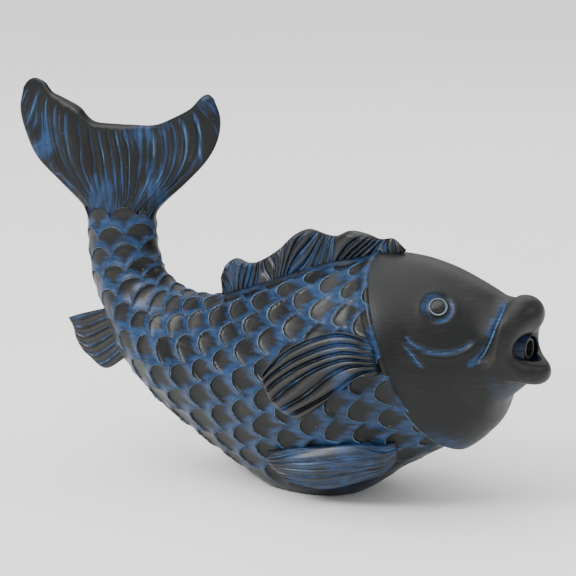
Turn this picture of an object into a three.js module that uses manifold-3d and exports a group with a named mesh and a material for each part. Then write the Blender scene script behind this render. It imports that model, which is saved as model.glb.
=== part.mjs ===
// A carp figure for the edge of a garden pond. Water from a pump leaves through its mouth.
// Two hollow castings are bonded at the gill line, with cast fins set in slots, and the
// plumbing runs inside them from a swivel elbow on the left flank to a pipe between the lips.
// Millimetres. +X is the way the fish looks, +Y its left side, +Z up, and Z = 0 is the ground.
import * as THREE from "three";
import { mergeVertices } from "three/addons/utils/BufferGeometryUtils.js";
import Module from "manifold-3d";

const wasm = await Module();
wasm.setup();

// ---- Overall sizes of the sculpture ----
const FIGURE_LENGTH = 378; // lips to the back of the tail fin
const FIGURE_HEIGHT = 243; // ground to the tip of the tail fin
const BODY_WIDTH = 110; // across the flanks, without fins
const SCULPTED = { length: 378, height: 243, width: 110 }; // the sizes that the outlines below are drawn at
const ORIGIN_X = 22; // where the middle of the flat belly lies in those outlines

// ---- Casting ----
const WALL = 6; // thickness of the hollow castings
const GAP = 0.3; // bond line between castings, and room between parts that push together
const LAP = 8; // length of the collar that the head slips over
const SLOT_DEPTH = 4; // how deep a fin's root sits in the casting

// ---- Plumbing ----
const PIPE_RADIUS = 6.5; // spout pipe, outside
const PIPE_WALL = 1.5;
const PIPE_LENGTH = 60;
const PIPE_SETBACK = 11; // from the front of the lips to the end of the pipe
const GROMMET_WALL = 2; // rubber between the pipe and the casting
const GROMMET_LIP = 3; // how far the grommet's flanges spread past its neck
const GROMMET_FLANGE = 2;
const HOSE_WALL = 2;
const HOSE_PUSH = 18; // length of hose over the pipe, and over the inlet's inner tail
const CLIP_BAND = 1.2;
const CLIP_WIDTH = 9;
const INLET_X = -20; // in the outlines' own coordinates, as are the ribs
const INLET_Z = 56;
const INLET_BORE = 4.5;
const THREAD_RADIUS = 10.5; // outside of the half inch pipe thread
const BOSS_RADIUS = 18;
const BOSS_RISE = 3; // how far the flat seat stands out of the flank
const FLANGE_RADIUS = 15;
const FLANGE = 4;
const GASKET = 2;
const NUT_FLATS = 13.5; // half the width across a hexagon's flats
const BACK_NUT = 6;
const UNION_THREAD = 12; // length of thread outside the flange
const UNION_WASHER = 2;
const COLLAR_RADIUS = 9.5; // the elbow's collar inside the union nut
const COLLAR = 3;
const TAIL_RADIUS = 6.5; // hose tail, between its barbs
const BARB_RISE = 1;
const BARBS = 4;
const BARB_PITCH = 6;
const ELBOW_BEND = 13; // radius of the elbow's bend

// ---- Belly and tail ----
const BUNG_RADIUS = 7;
const BUNG_PLACE = 15; // from the origin towards the head
const BUNG_HEAD = 2; // radius that its head adds
const BUNG_HEAD_DEPTH = 2;
const ROD_RADIUS = 2.5;
const ROD_LENGTH = 68;
const EYE_RADIUS = 5.5;
const EYE_SEAT = 3;

// ---- Facets ----
const RIB_STEPS = 24;
const RIB_SIDES = 20;
const LIP_STEPS = 24;
const ROUND = 20;
const FAR = 500; // larger than the figure, for cutting blocks

// The body's outline as ribs: the back's and belly's points in the fish's plane of symmetry, and
// half the width there, from behind the lips to the root of the tail fin.
const RIBS = [
  { back: [147, 133], belly: [150, 78], half: 19 },
  { back: [132, 139.5], belly: [137, 52], half: 33 },
  { back: [106, 148.5], belly: [108, 32], half: 46 },
  { back: [79, 152], belly: [79, 15], half: 53 },
  { back: [41, 146], belly: [41, -5], half: 55 },
  { back: [8, 135], belly: [6, -7], half: 51 },
  { back: [-20, 124], belly: [-24, 4], half: 45 },
  { back: [-46, 115], belly: [-62, 19], half: 38 },
  { back: [-68, 113], belly: [-97, 37], half: 31 },
  { back: [-83, 117], belly: [-126, 65], half: 24 },
  { back: [-93, 126], belly: [-142, 98], half: 19 },
  { back: [-97, 141], belly: [-148.5, 128], half: 16 },
  { back: [-98, 158], belly: [-150, 150], half: 14.5 },
];
const GILL_TOP = [62, 148]; // the straight joint between head and trunk, seen from the side
const GILL_LOW = [116, 50];
const CAVITY = { front: 0.1, rear: 0.86 }; // shares of the way from the lips to the tail's root

// Outlines are drawn in SCULPTED sizes, and these carry them to the figure's own.
const toX = (x) => ((x - ORIGIN_X) * FIGURE_LENGTH) / SCULPTED.length;
const toY = (y) => (y * BODY_WIDTH) / SCULPTED.width;
const toZ = (z) => (z * FIGURE_HEIGHT) / SCULPTED.height;
const side = ([x, z]) => new THREE.Vector3(toX(x), 0, toZ(z));
const spline = (points) => new THREE.CatmullRomCurve3(points, false, "catmullrom", 0.5);
const backLine = spline(RIBS.map((rib) => side(rib.back)));
const bellyLine = spline(RIBS.map((rib) => side(rib.belly)));
const halfLine = spline(RIBS.map((rib) => new THREE.Vector3(toY(rib.half), 0, 0)));

// ---- Solids ----
function solid(geometry) {
  const bare = new THREE.BufferGeometry().setAttribute("position", geometry.getAttribute("position"));
  if (geometry.index) bare.setIndex(geometry.index);
  const merged = mergeVertices(bare.index ? bare.toNonIndexed() : bare, 1e-4);
  const build = (triVerts) =>
    new wasm.Manifold(
      new wasm.Mesh({ numProp: 3, vertProperties: merged.attributes.position.array, triVerts }),
    );
  const faces = new Uint32Array(merged.index.array);
  const made = build(faces);
  if (made.volume() > 0) return made;
  for (let i = 0; i < faces.length; i += 3) [faces[i + 1], faces[i + 2]] = [faces[i + 2], faces[i + 1]];
  return build(faces);
}

function node(name, shape, finish) {
  const data = shape.getMesh();
  const geometry = new THREE.BufferGeometry()
    .setAttribute("position", new THREE.BufferAttribute(new Float32Array(data.vertProperties), 3))
    .setIndex(new THREE.BufferAttribute(new Uint32Array(data.triVerts), 1));
  geometry.computeVertexNormals();
  const mesh = new THREE.Mesh(geometry, finish);
  mesh.name = name;
  return mesh;
}

// Rings of points, one after the other, closed by a flat face at each end.
function loft(rings) {
  const sides = rings[0].length;
  const points = rings.flat();
  const faces = [];
  for (let i = 0; i + 1 < rings.length; i++)
    for (let j = 0; j < sides; j++) {
      const a = i * sides + j;
      const b = i * sides + ((j + 1) % sides);
      faces.push(a, b, b + sides, a, b + sides, a + sides);
    }
  for (const [ring, turn] of [[0, false], [rings.length - 1, true]]) {
    const middle = points.length;
    const centre = new THREE.Vector3();
    rings[ring].forEach((p) => centre.add(p));
    points.push(centre.divideScalar(sides));
    for (let j = 0; j < sides; j++) {
      const a = ring * sides + j;
      const b = ring * sides + ((j + 1) % sides);
      faces.push(...(turn ? [middle, a, b] : [middle, b, a]));
    }
  }
  return solid(new THREE.BufferGeometry().setFromPoints(points).setIndex(faces));
}

// A round tube that closes on itself, like the lips.
function closedTube(rings) {
  const sides = rings[0].length;
  const faces = [];
  for (let i = 0; i < rings.length; i++)
    for (let j = 0; j < sides; j++) {
      const a = i * sides + j;
      const b = i * sides + ((j + 1) % sides);
      const shift = (((i + 1) % rings.length) - i) * sides;
      faces.push(a, b, b + shift, a, b + shift, a + shift);
    }
  return solid(new THREE.BufferGeometry().setFromPoints(rings.flat()).setIndex(faces));
}

// A thin body between two faces of one sheet. at(u, v) gives the middle point, the way out of the
// sheet and the half thickness there. A grown sheet is larger by that much on every side.
function sheet(at, across, along, grown = 0) {
  const cells = [];
  for (let j = 0; j <= along; j++)
    for (let i = 0; i <= across; i++) cells.push(at(0.5 - 0.5 * Math.cos((Math.PI * i) / across), j / along));
  const cell = (i, j) => cells[j * (across + 1) + i];
  const push = (border, inner) => border.point.clone().sub(inner.point).setLength(grown);
  const moves = cells.map(() => new THREE.Vector3());
  if (grown) {
    for (let j = 0; j <= along; j++) {
      moves[j * (across + 1)].add(push(cell(0, j), cell(1, j)));
      moves[j * (across + 1) + across].add(push(cell(across, j), cell(across - 1, j)));
    }
    for (let i = 0; i <= across; i++) {
      moves[i].add(push(cell(i, 0), cell(i, 1)));
      moves[along * (across + 1) + i].add(push(cell(i, along), cell(i, along - 1)));
    }
  }
  const face = (hand) =>
    cells.map(({ point, out, half }, i) =>
      point.clone().add(moves[i]).addScaledVector(out, hand * (half + grown)),
    );
  const front = face(1);
  const back = face(-1);
  const shift = front.length;
  const faces = [];
  const quad = (a, b, c, d) => faces.push(a, b, c, a, c, d);
  const row = across + 1;
  for (let j = 0; j < along; j++)
    for (let i = 0; i < across; i++) {
      const a = j * row + i;
      quad(a, a + 1, a + row + 1, a + row);
      quad(a + shift, a + row + shift, a + row + 1 + shift, a + 1 + shift);
    }
  for (let i = 0; i < across; i++) {
    const top = along * row + i;
    quad(i + 1, i, i + shift, i + 1 + shift);
    quad(top, top + 1, top + 1 + shift, top + shift);
  }
  for (let j = 0; j < along; j++) {
    const left = j * row;
    const right = left + across;
    quad(left, left + row, left + row + shift, left + shift);
    quad(right + row, right, right + shift, right + row + shift);
  }
  return solid(new THREE.BufferGeometry().setFromPoints(front.concat(back)).setIndex(faces));
}

// The point (u, v) inside four edge curves that meet at their corners.
function patch(low, high, left, right, u, v) {
  const p = low.getPoint(u).multiplyScalar(1 - v).addScaledVector(high.getPoint(u), v);
  p.addScaledVector(left.getPoint(v), 1 - u).addScaledVector(right.getPoint(v), u);
  p.addScaledVector(low.getPoint(0), -(1 - u) * (1 - v)).addScaledVector(low.getPoint(1), -u * (1 - v));
  return p.addScaledVector(high.getPoint(0), -(1 - u) * v).addScaledVector(high.getPoint(1), -u * v);
}

// A turned body: a closed profile of [radius, height] points about an axis from a place, along a way.
function turned(profile, place, way, sides = ROUND) {
  const closed = [...profile, profile[0]].map(([r, h]) => new THREE.Vector2(r, h));
  const geometry = new THREE.LatheGeometry(closed, sides);
  const turn = new THREE.Quaternion().setFromUnitVectors(new THREE.Vector3(0, 1, 0), way);
  return solid(geometry.applyQuaternion(turn).translate(place.x, place.y, place.z));
}
const rod = (radius, from, to, place, way, sides = ROUND) =>
  turned([[0, from], [radius, from], [radius, to], [0, to]], place, way, sides);
const ring = (inner, outer, from, to, place, way) =>
  turned([[inner, from], [outer, from], [outer, to], [inner, to]], place, way);

function block(x, y, z) {
  const size = [x[1] - x[0], y[1] - y[0], z[1] - z[0]];
  const geometry = new THREE.BoxGeometry(...size);
  return solid(geometry.translate(x[0] + size[0] / 2, y[0] + size[1] / 2, z[0] + size[2] / 2));
}

function hexagon(flats, from, to, place) {
  const geometry = new THREE.CylinderGeometry(flats / Math.cos(Math.PI / 6), flats / Math.cos(Math.PI / 6),
    to - from, 6);
  return solid(geometry.translate(place.x, place.y + (from + to) / 2, place.z));
}

const X = new THREE.Vector3(1, 0, 0);
const Y = new THREE.Vector3(0, 1, 0);
const Z = new THREE.Vector3(0, 0, 1);

// ---- The body's surface ----
// share runs from the lips, 0, to the tail's root, 1. rise is the angle from the middle of the
// flank up to the back, in degrees, and hand is 1 on the left flank and -1 on the right one.
function skin(share, rise, hand, inset = 0) {
  const back = backLine.getPoint(share);
  const belly = bellyLine.getPoint(share);
  const up = back.clone().sub(belly).multiplyScalar(0.5);
  const angle = THREE.MathUtils.degToRad(rise);
  const point = back.add(belly).multiplyScalar(0.5);
  point.addScaledVector(up, Math.sin(angle) * (1 - inset / up.length()));
  point.y = hand * (halfLine.getPoint(share).x - inset) * Math.cos(angle);
  return point;
}
function outOfSkin(share, rise, hand) {
  const step = 0.004;
  const along = skin(share + step, rise, hand).sub(skin(share - step, rise, hand));
  const up = skin(share, rise + 1, hand).sub(skin(share, rise - 1, hand));
  return along.cross(up).normalize().multiplyScalar(hand);
}
function bodyLoft(from, to, steps, inset = 0) {
  const rings = [];
  for (let i = 0; i <= steps; i++) {
    const share = from + ((to - from) * i) / steps;
    rings.push(
      Array.from({ length: RIB_SIDES }, (_, j) => skin(share, (360 * (j + 0.5)) / RIB_SIDES, 1, inset)),
    );
  }
  return loft(rings);
}

// Everything in front of the gill joint, moved back by a distance.
function aheadOfGill(shift) {
  const top = side(GILL_TOP);
  const down = side(GILL_LOW).sub(top).normalize();
  const ahead = new THREE.Vector3(-down.z, 0, down.x);
  const start = top.addScaledVector(ahead, -shift);
  const corners = [
    start.clone().addScaledVector(down, -FAR),
    start.clone().addScaledVector(down, FAR),
    start.clone().addScaledVector(down, FAR).addScaledVector(ahead, FAR),
    start.clone().addScaledVector(down, -FAR).addScaledVector(ahead, FAR),
  ];
  const outline = new THREE.Shape(corners.map((p) => new THREE.Vector2(p.x, p.z)));
  const geometry = new THREE.ExtrudeGeometry(outline, { depth: 2 * FAR, bevelEnabled: false });
  return solid(geometry.rotateX(Math.PI / 2).translate(0, FAR, 0));
}

const aboveGround = block([-FAR, FAR], [-FAR, FAR], [0, FAR]);
const aboveFloor = block([-FAR, FAR], [-FAR, FAR], [WALL, FAR]);
const outer = bodyLoft(0, 1, RIB_STEPS).intersect(aboveGround);
const hollow = bodyLoft(CAVITY.front, CAVITY.rear, RIB_STEPS - 8, WALL).intersect(aboveFloor);
const collarOuter = bodyLoft(0.12, 0.5, 10, WALL / 2 + GAP);
const collarSeat = bodyLoft(0.12, 0.5, 10, WALL / 2);
const lapSlab = (from, to) => aheadOfGill(-from).subtract(aheadOfGill(-to));

// ---- Mouth ----
const MOUTH = { x: 165, z: 103.7, half: 12, rise: 7.75 }; // the opening between the lips
const LIP_FRONT = toX(174);
const mouthAxis = (x) => new THREE.Vector3(toX(x), 0, toZ(MOUTH.z));
const LIP_CORNER = { x: 152, radius: 6.5, half: 19 };
const LIP_UPPER = { x: 160, z: 122, radius: 10.5 };
const LIP_LOWER = { x: 165, z: 89.5, radius: 6.8 };
// Where the lips' tube runs at an angle round the mouth, from the left corner up.
function lipPlace(angle) {
  const lip = Math.sin(angle) > 0 ? LIP_UPPER : LIP_LOWER;
  const share = Math.sin(angle) ** 2;
  const mix = (a, b) => a + (b - a) * share;
  const middle = (LIP_UPPER.z + LIP_LOWER.z) / 2;
  const reach = (LIP_UPPER.z - LIP_LOWER.z) / 2;
  const centre = new THREE.Vector3(
    toX(mix(LIP_CORNER.x, lip.x)),
    toY(LIP_CORNER.half) * Math.cos(angle),
    toZ(middle + reach * Math.sin(angle)),
  );
  return { centre, radius: mix(LIP_CORNER.radius, lip.radius) };
}
function lips() {
  const rings = [];
  for (let i = 0; i < LIP_STEPS; i++) {
    const angle = (2 * Math.PI * i) / LIP_STEPS;
    const { centre, radius } = lipPlace(angle);
    const outward = new THREE.Vector3(0, Math.cos(angle), Math.sin(angle));
    rings.push(
      Array.from({ length: 10 }, (_, j) => {
        const turn = (2 * Math.PI * j) / 10;
        return centre.clone().addScaledVector(X, radius * Math.cos(turn))
          .addScaledVector(outward, radius * Math.sin(turn));
      }),
    );
  }
  return closedTube(rings);
}
// The short snout between the head's first rib and the lips.
function muzzle() {
  const angles = Array.from({ length: RIB_SIDES }, (_, j) => (360 * (j + 0.5)) / RIB_SIDES);
  const rib = (share, inset) => angles.map((angle) => skin(share, angle, 1, inset));
  const front = angles.map((angle) => lipPlace(THREE.MathUtils.degToRad(angle)).centre);
  return loft([front, rib(0.004, 0.5), rib(0.05, 2)]);
}
const PIPE_CLEAR = 1.2; // least room between the pipe and the lips
const mouthHalf = Math.max(toY(MOUTH.half), PIPE_RADIUS + PIPE_CLEAR);
const mouthRise = Math.max(toZ(MOUTH.rise), PIPE_RADIUS + PIPE_CLEAR);
const MOUTH_FLOOR = toX(147); // front face of the wall that holds the grommet
const neckRadius = PIPE_RADIUS + GAP + GROMMET_WALL;
const mouthCentre = mouthAxis(MOUTH.x);
function mouthHollow() {
  const opening = new THREE.CylinderGeometry(1, 1, FAR, ROUND)
    .rotateZ(Math.PI / 2)
    .scale(1, mouthHalf, mouthRise)
    .translate(MOUTH_FLOOR + 4 + FAR / 2, 0, mouthCentre.z);
  const chamber = new THREE.SphereGeometry(1, ROUND, 12)
    .scale(9, mouthHalf + 2.5, mouthRise + 4.7)
    .translate(MOUTH_FLOOR + 5.5, 0, mouthCentre.z);
  const ahead = block([MOUTH_FLOOR, FAR], [-FAR, FAR], [-FAR, FAR]);
  return solid(opening).add(solid(chamber)).intersect(ahead);
}

// ---- Fins ----
const place = (share, rise) => new THREE.Vector3(share, rise, 0);
const curveOf = (...points) => spline(points);

// A fin that lies along the flank. Its edges are given as shares and rises of the skin.
function flankFin(edges, lift, half, hand, extra = 0, sink = SLOT_DEPTH) {
  const at = (u, v) => {
    const on = patch(edges.root, edges.tip, edges.high, edges.low, u, v);
    const out = outOfSkin(on.x, on.y, hand);
    const leave = Math.min(1, v * 4);
    const height = -sink * (1 - leave) * 0.9 + lift(v) * leave + half;
    return { point: skin(on.x, on.y, hand).addScaledVector(out, height), out, half: half * (1 - 0.45 * v) };
  };
  return sheet(at, 6, 8, extra);
}
const pectoralEdges = {
  root: curveOf(place(0.242, 20), place(0.232, 11), place(0.222, 2)),
  tip: curveOf(place(0.39, 14), place(0.368, 3), place(0.325, -8)),
  high: curveOf(place(0.242, 20), place(0.294, 25), place(0.345, 23), place(0.39, 14)),
  low: curveOf(place(0.222, 2), place(0.26, 1), place(0.293, -4), place(0.325, -8)),
};
const pelvicEdges = {
  root: curveOf(place(0.212, -45), place(0.219, -53), place(0.229, -61)),
  tip: curveOf(place(0.402, -28), place(0.39, -36), place(0.36, -46)),
  high: curveOf(place(0.212, -45), place(0.27, -32), place(0.34, -25), place(0.402, -28)),
  low: curveOf(place(0.229, -61), place(0.27, -60), place(0.32, -55), place(0.36, -46)),
};
const pectoral = (hand, extra) => flankFin(pectoralEdges, (v) => 1.5 + 4 * v, 3, hand, extra);
const pelvic = (hand, extra) => flankFin(pelvicEdges, (v) => 1 + 2.5 * v, 2.5, hand, extra);

// A fin that stands in the plane of symmetry.
function uprightFin(edges, halfAt, across, along, extra = 0) {
  const at = (u, v) => ({
    point: patch(edges.root, edges.tip, edges.left, edges.right, u, v),
    out: Y,
    half: halfAt(u, v),
  });
  return sheet(at, across, along, extra);
}
const outline = (...points) => curveOf(...points.map(side));
const DORSAL = { rear: 0.585, front: 0.262 }; // where it starts and ends along the back
function dorsalEdges(sunk) {
  const foot = (share) => {
    const up = backLine.getPoint(share).sub(bellyLine.getPoint(share)).normalize();
    return backLine.getPoint(share).addScaledVector(up, -sunk);
  };
  const shares = Array.from({ length: 9 }, (_, i) => DORSAL.rear + ((DORSAL.front - DORSAL.rear) * i) / 8);
  const feet = shares.map(foot);
  const crest = [[-49, 125], [-40, 136], [-26, 136], [-8, 145], [14, 161], [29, 158.5], [45, 163], [62, 160],
    [73, 160], [82, 154.5]].map(side);
  return {
    root: spline(feet),
    tip: spline(crest),
    left: spline([feet[0], crest[0]]),
    right: spline([feet[8], crest[9]]),
  };
}
const dorsalHalf = (u, v) => (3.6 - 1.4 * v) * Math.min(1, 0.45 + 3 * Math.min(u, 1 - u));
const dorsal = (extra, sunk) => uprightFin(dorsalEdges(sunk), dorsalHalf, 18, 3, extra);

// The anal fin, under the root of the tail.
const analShares = { low: 0.74, high: 0.82 };
function analEdges(sunk) {
  const foot = (share) => {
    const up = backLine.getPoint(share).sub(bellyLine.getPoint(share)).normalize();
    return bellyLine.getPoint(share).addScaledVector(up, sunk);
  };
  const low = foot(analShares.low);
  const high = foot(analShares.high);
  const feet = [low, foot((analShares.low + analShares.high) / 2), high];
  const lowTip = side([-150, 61]);
  const highTip = side([-168, 85]);
  return {
    root: spline(feet),
    tip: spline([lowTip, side([-161, 71]), highTip]),
    left: spline([low, side([-138, 54]), lowTip]),
    right: spline([high, side([-157, 89]), highTip]),
  };
}
const analHalf = (u, v) => 2.6 - 0.9 * v;
const anal = (extra, sunk) => uprightFin(analEdges(sunk), analHalf, 5, 4, extra);

// The tail fin: a fan whose root has the section of the tail's root.
const tailEdges = {
  root: outline([-150, 150], [-124, 154], [-98, 158]),
  tip: outline([-191, 243], [-172, 231], [-150, 219], [-124, 216], [-98, 219], [-74, 230], [-54, 238.5]),
  left: outline([-150, 150], [-166, 168], [-187, 187], [-200, 207], [-203, 226], [-191, 243]),
  right: outline([-98, 158], [-84, 171], [-66, 189], [-52, 210], [-50, 226], [-54, 238.5]),
};
const tailRootHalf = toY(RIBS[RIBS.length - 1].half);
function tailHalf(u, v) {
  const round = Math.sqrt(Math.max(0, 1 - (2 * u - 1) ** 2));
  const thin = Math.exp(-3.2 * v);
  return Math.max(1.5, (tailRootHalf * thin + 2.9 * (1 - thin)) * Math.min(1, round * (1 + 1.5 * v)));
}
function tailFin() {
  const bond = tailEdges.root.getTangent(0.5);
  const lift = new THREE.Vector3(-bond.z, 0, bond.x).multiplyScalar(GAP);
  const at = (u, v) => {
    const point = patch(tailEdges.root, tailEdges.tip, tailEdges.left, tailEdges.right, u, v);
    return { point: point.addScaledVector(lift, 1), out: Y, half: tailHalf(u, v) };
  };
  return sheet(at, 14, 9);
}

// ---- Tail rod ----
const rodFoot = side([-122, 153]).addScaledVector(Z, -ROD_LENGTH / 2);
const tailRod = rod(ROD_RADIUS, 0, ROD_LENGTH, rodFoot, Z, 16);
const rodHole = rod(ROD_RADIUS + GAP, -GAP, ROD_LENGTH + GAP, rodFoot, Z, 16);

// ---- Eyes ----
const EYE_PLACE = { share: 0.133, rise: 44 };
function eyeAt(hand) {
  return {
    seat: skin(EYE_PLACE.share, EYE_PLACE.rise, hand),
    way: outOfSkin(EYE_PLACE.share, EYE_PLACE.rise, hand),
  };
}
function eye(hand) {
  const { seat, way } = eyeAt(hand);
  const dome = [[0, -EYE_SEAT], [EYE_RADIUS, -EYE_SEAT], [EYE_RADIUS, 0.6], [4.4, 1.7], [2.6, 2.4], [0, 2.7]];
  return turned(dome, seat, way);
}
function eyeSocket(hand) {
  const { seat, way } = eyeAt(hand);
  return rod(EYE_RADIUS + GAP, -EYE_SEAT - GAP, 10, seat, way);
}

// ---- Spout ----
const pipeFront = LIP_FRONT - PIPE_SETBACK;
const pipeRear = pipeFront - PIPE_LENGTH;
const pipePlace = new THREE.Vector3(0, 0, mouthCentre.z);
const pipe = ring(PIPE_RADIUS - PIPE_WALL, PIPE_RADIUS, pipeRear, pipeFront, pipePlace, X);
const wallBack = MOUTH_FLOOR - WALL; // back face of the wall that holds the grommet
const grommet = turned(
  [
    [PIPE_RADIUS + GAP, wallBack - GAP - GROMMET_FLANGE],
    [neckRadius + GROMMET_LIP, wallBack - GAP - GROMMET_FLANGE],
    [neckRadius + GROMMET_LIP, wallBack - GAP],
    [neckRadius, wallBack - GAP],
    [neckRadius, MOUTH_FLOOR + GAP],
    [neckRadius + GROMMET_LIP, MOUTH_FLOOR + GAP],
    [neckRadius + GROMMET_LIP, MOUTH_FLOOR + GAP + GROMMET_FLANGE],
    [PIPE_RADIUS + GAP, MOUTH_FLOOR + GAP + GROMMET_FLANGE],
  ],
  pipePlace,
  X,
);
const grommetHole = rod(neckRadius + GAP, -FAR / 2, MOUTH_FLOOR + 5, pipePlace, X).intersect(
  block([wallBack - 30, FAR], [-FAR, FAR], [-FAR, FAR]),
);
const grommetRoom = rod(neckRadius + GROMMET_LIP + 1, wallBack - 14, wallBack, pipePlace, X);
const mouthRoom = rod(neckRadius + GROMMET_LIP + 0.6, MOUTH_FLOOR, MOUTH_FLOOR + 5, pipePlace, X);

// ---- Inlet, whose parts all lie on one axis along Y ----
const inletAxis = new THREE.Vector3(toX(INLET_X), 0, toZ(INLET_Z));
function flankAt(x, z) {
  let best = { far: Infinity };
  for (let share = CAVITY.front; share < CAVITY.rear; share += 0.002)
    for (let rise = -60; rise <= 60; rise += 1) {
      const p = skin(share, rise, 1);
      const far = Math.hypot(p.x - x, p.z - z);
      if (far < best.far) best = { far, y: p.y };
    }
  return best.y;
}
const seat = flankAt(inletAxis.x, inletAxis.z) + BOSS_RISE; // the flat face of the boss
const backFace = seat - WALL - BOSS_RISE - 2; // where the back nut bears
const boss = rod(BOSS_RADIUS, backFace, seat, inletAxis, Y, 32);
const bossRoom = rod(NUT_FLATS + 5, seat - 60, backFace, inletAxis, Y);
const spotFace = rod(FLANGE_RADIUS + 2, seat, seat + 30, inletAxis, Y, 32);
const inletHole = rod(THREAD_RADIUS + GAP, backFace - 20, seat + 20, inletAxis, Y);
const gasketOut = seat + GAP + GASKET;
const gasket = ring(THREAD_RADIUS + GAP, FLANGE_RADIUS, seat + GAP, gasketOut, inletAxis, Y);
const flangeOut = gasketOut + GAP + FLANGE;
const threadOut = flangeOut + UNION_THREAD;
const nutIn = backFace - GAP - BACK_NUT;
const innerEnd = nutIn - 3 - HOSE_PUSH;
const bulkhead = turned(
  [
    [INLET_BORE, innerEnd],
    [TAIL_RADIUS - 1, innerEnd],
    [TAIL_RADIUS, innerEnd + 3],
    [TAIL_RADIUS, nutIn - 2],
    [THREAD_RADIUS, nutIn - 2],
    [THREAD_RADIUS, gasketOut + GAP],
    [FLANGE_RADIUS, gasketOut + GAP],
    [FLANGE_RADIUS, flangeOut],
    [THREAD_RADIUS, flangeOut],
    [THREAD_RADIUS, threadOut],
    [INLET_BORE, threadOut],
  ],
  inletAxis,
  Y,
);
const nutBore = (from, to) => rod(THREAD_RADIUS + GAP, from, to, inletAxis, Y);
const backNut = hexagon(NUT_FLATS, nutIn, nutIn + BACK_NUT, inletAxis).subtract(nutBore(nutIn - 1, backFace));
const washerOut = threadOut + GAP + UNION_WASHER;
const unionWasher = ring(INLET_BORE + 1, COLLAR_RADIUS, threadOut + GAP, washerOut, inletAxis, Y);
const collarOut = washerOut + GAP + COLLAR;
const neck = TAIL_RADIUS + 1;
const nutOuter = collarOut + GAP + 3;
const unionNut = hexagon(NUT_FLATS + 1, flangeOut + 1, nutOuter, inletAxis)
  .subtract(rod(THREAD_RADIUS + GAP, flangeOut, collarOut + GAP, inletAxis, Y))
  .subtract(rod(neck + 1.5 * GAP, collarOut, nutOuter + 1, inletAxis, Y));

function elbow() {
  const bendStart = nutOuter + 1;
  const corner = inletAxis.clone().addScaledVector(Y, bendStart + ELBOW_BEND);
  const bendFoot = inletAxis.clone().addScaledVector(Y, bendStart);
  const bend = new THREE.CurvePath();
  bend.add(new THREE.LineCurve3(bendFoot.clone().addScaledVector(Y, -2), bendFoot));
  const bendEnd = corner.clone().addScaledVector(X, -ELBOW_BEND);
  bend.add(new THREE.QuadraticBezierCurve3(bendFoot, corner, bendEnd));
  bend.add(new THREE.LineCurve3(bendEnd, bendEnd.clone().addScaledVector(X, -2)));
  const swept = (radius) => {
    const section = new THREE.Shape().absarc(0, 0, radius, 0, 2 * Math.PI);
    return solid(new THREE.ExtrudeGeometry(section, { steps: 8, curveSegments: 5, extrudePath: bend }));
  };
  const tailEnd = BARBS * BARB_PITCH + 3;
  const profile = [[0, 0], [TAIL_RADIUS, 0], [TAIL_RADIUS, 3]];
  for (let i = 0; i < BARBS; i++) {
    const start = 3 + i * BARB_PITCH;
    profile.push([TAIL_RADIUS + BARB_RISE, start], [TAIL_RADIUS, start + BARB_PITCH]);
  }
  profile.push([0, tailEnd]);
  const back = X.clone().negate();
  return rod(COLLAR_RADIUS, washerOut + GAP, collarOut, inletAxis, Y)
    .add(rod(neck, collarOut - 1, bendStart, inletAxis, Y))
    .add(swept(neck))
    .add(turned(profile, bendEnd, back))
    .subtract(rod(INLET_BORE, washerOut - 1, bendStart, inletAxis, Y, 16))
    .subtract(swept(INLET_BORE))
    .subtract(rod(INLET_BORE, -1, tailEnd + 1, bendEnd, back, 16));
}

// ---- Inner hose, from the pipe to the inlet's inner tail ----
const hoseInner = PIPE_RADIUS + GAP;
const hoseOuter = hoseInner + HOSE_WALL;
const onPipe = (x) => new THREE.Vector3(x, 0, mouthCentre.z);
const onTail = (y) => inletAxis.clone().setY(y);
function hose() {
  const route = new THREE.CurvePath();
  const pipeLeave = onPipe(pipeRear - 4);
  const tailLeave = onTail(innerEnd - 3);
  route.add(new THREE.LineCurve3(onPipe(pipeRear + HOSE_PUSH), pipeLeave));
  route.add(
    new THREE.CubicBezierCurve3(
      pipeLeave,
      pipeLeave.clone().addScaledVector(X, -0.5 * (pipeLeave.x - tailLeave.x)),
      tailLeave.clone().addScaledVector(Y, -28),
      tailLeave,
    ),
  );
  route.add(new THREE.LineCurve3(tailLeave, onTail(innerEnd + HOSE_PUSH)));
  const section = new THREE.Shape().absarc(0, 0, hoseOuter, 0, 2 * Math.PI);
  section.holes.push(new THREE.Path().absarc(0, 0, hoseInner / Math.cos(Math.PI / 8), 0, 2 * Math.PI, true));
  return solid(new THREE.ExtrudeGeometry(section, { steps: 28, curveSegments: 4, extrudePath: route }));
}

// A worm drive clip: a band with the screw's housing on it.
function clip(centre, way, up) {
  const inner = hoseOuter + 2 * GAP;
  const band = ring(inner, inner + CLIP_BAND, -CLIP_WIDTH / 2, CLIP_WIDTH / 2, centre, way);
  const across = new THREE.Vector3().crossVectors(way, up);
  const high = centre.clone().addScaledVector(up, inner + CLIP_BAND + 2.5);
  const housing = new THREE.BoxGeometry(10, 6, CLIP_WIDTH + 2);
  housing.applyMatrix4(new THREE.Matrix4().makeBasis(across, up, way));
  const screw = high.clone().addScaledVector(across, -9);
  return band
    .add(solid(housing.translate(high.x, high.y, high.z)))
    .add(rod(3.2, 0, 16, screw, across, 12))
    .subtract(rod(inner, -CLIP_WIDTH, CLIP_WIDTH, centre, way));
}
const frontClip = clip(onPipe(pipeRear + HOSE_PUSH / 2), X, Z);
const rearClip = clip(onTail(innerEnd + HOSE_PUSH / 2), Y, Z);

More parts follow.
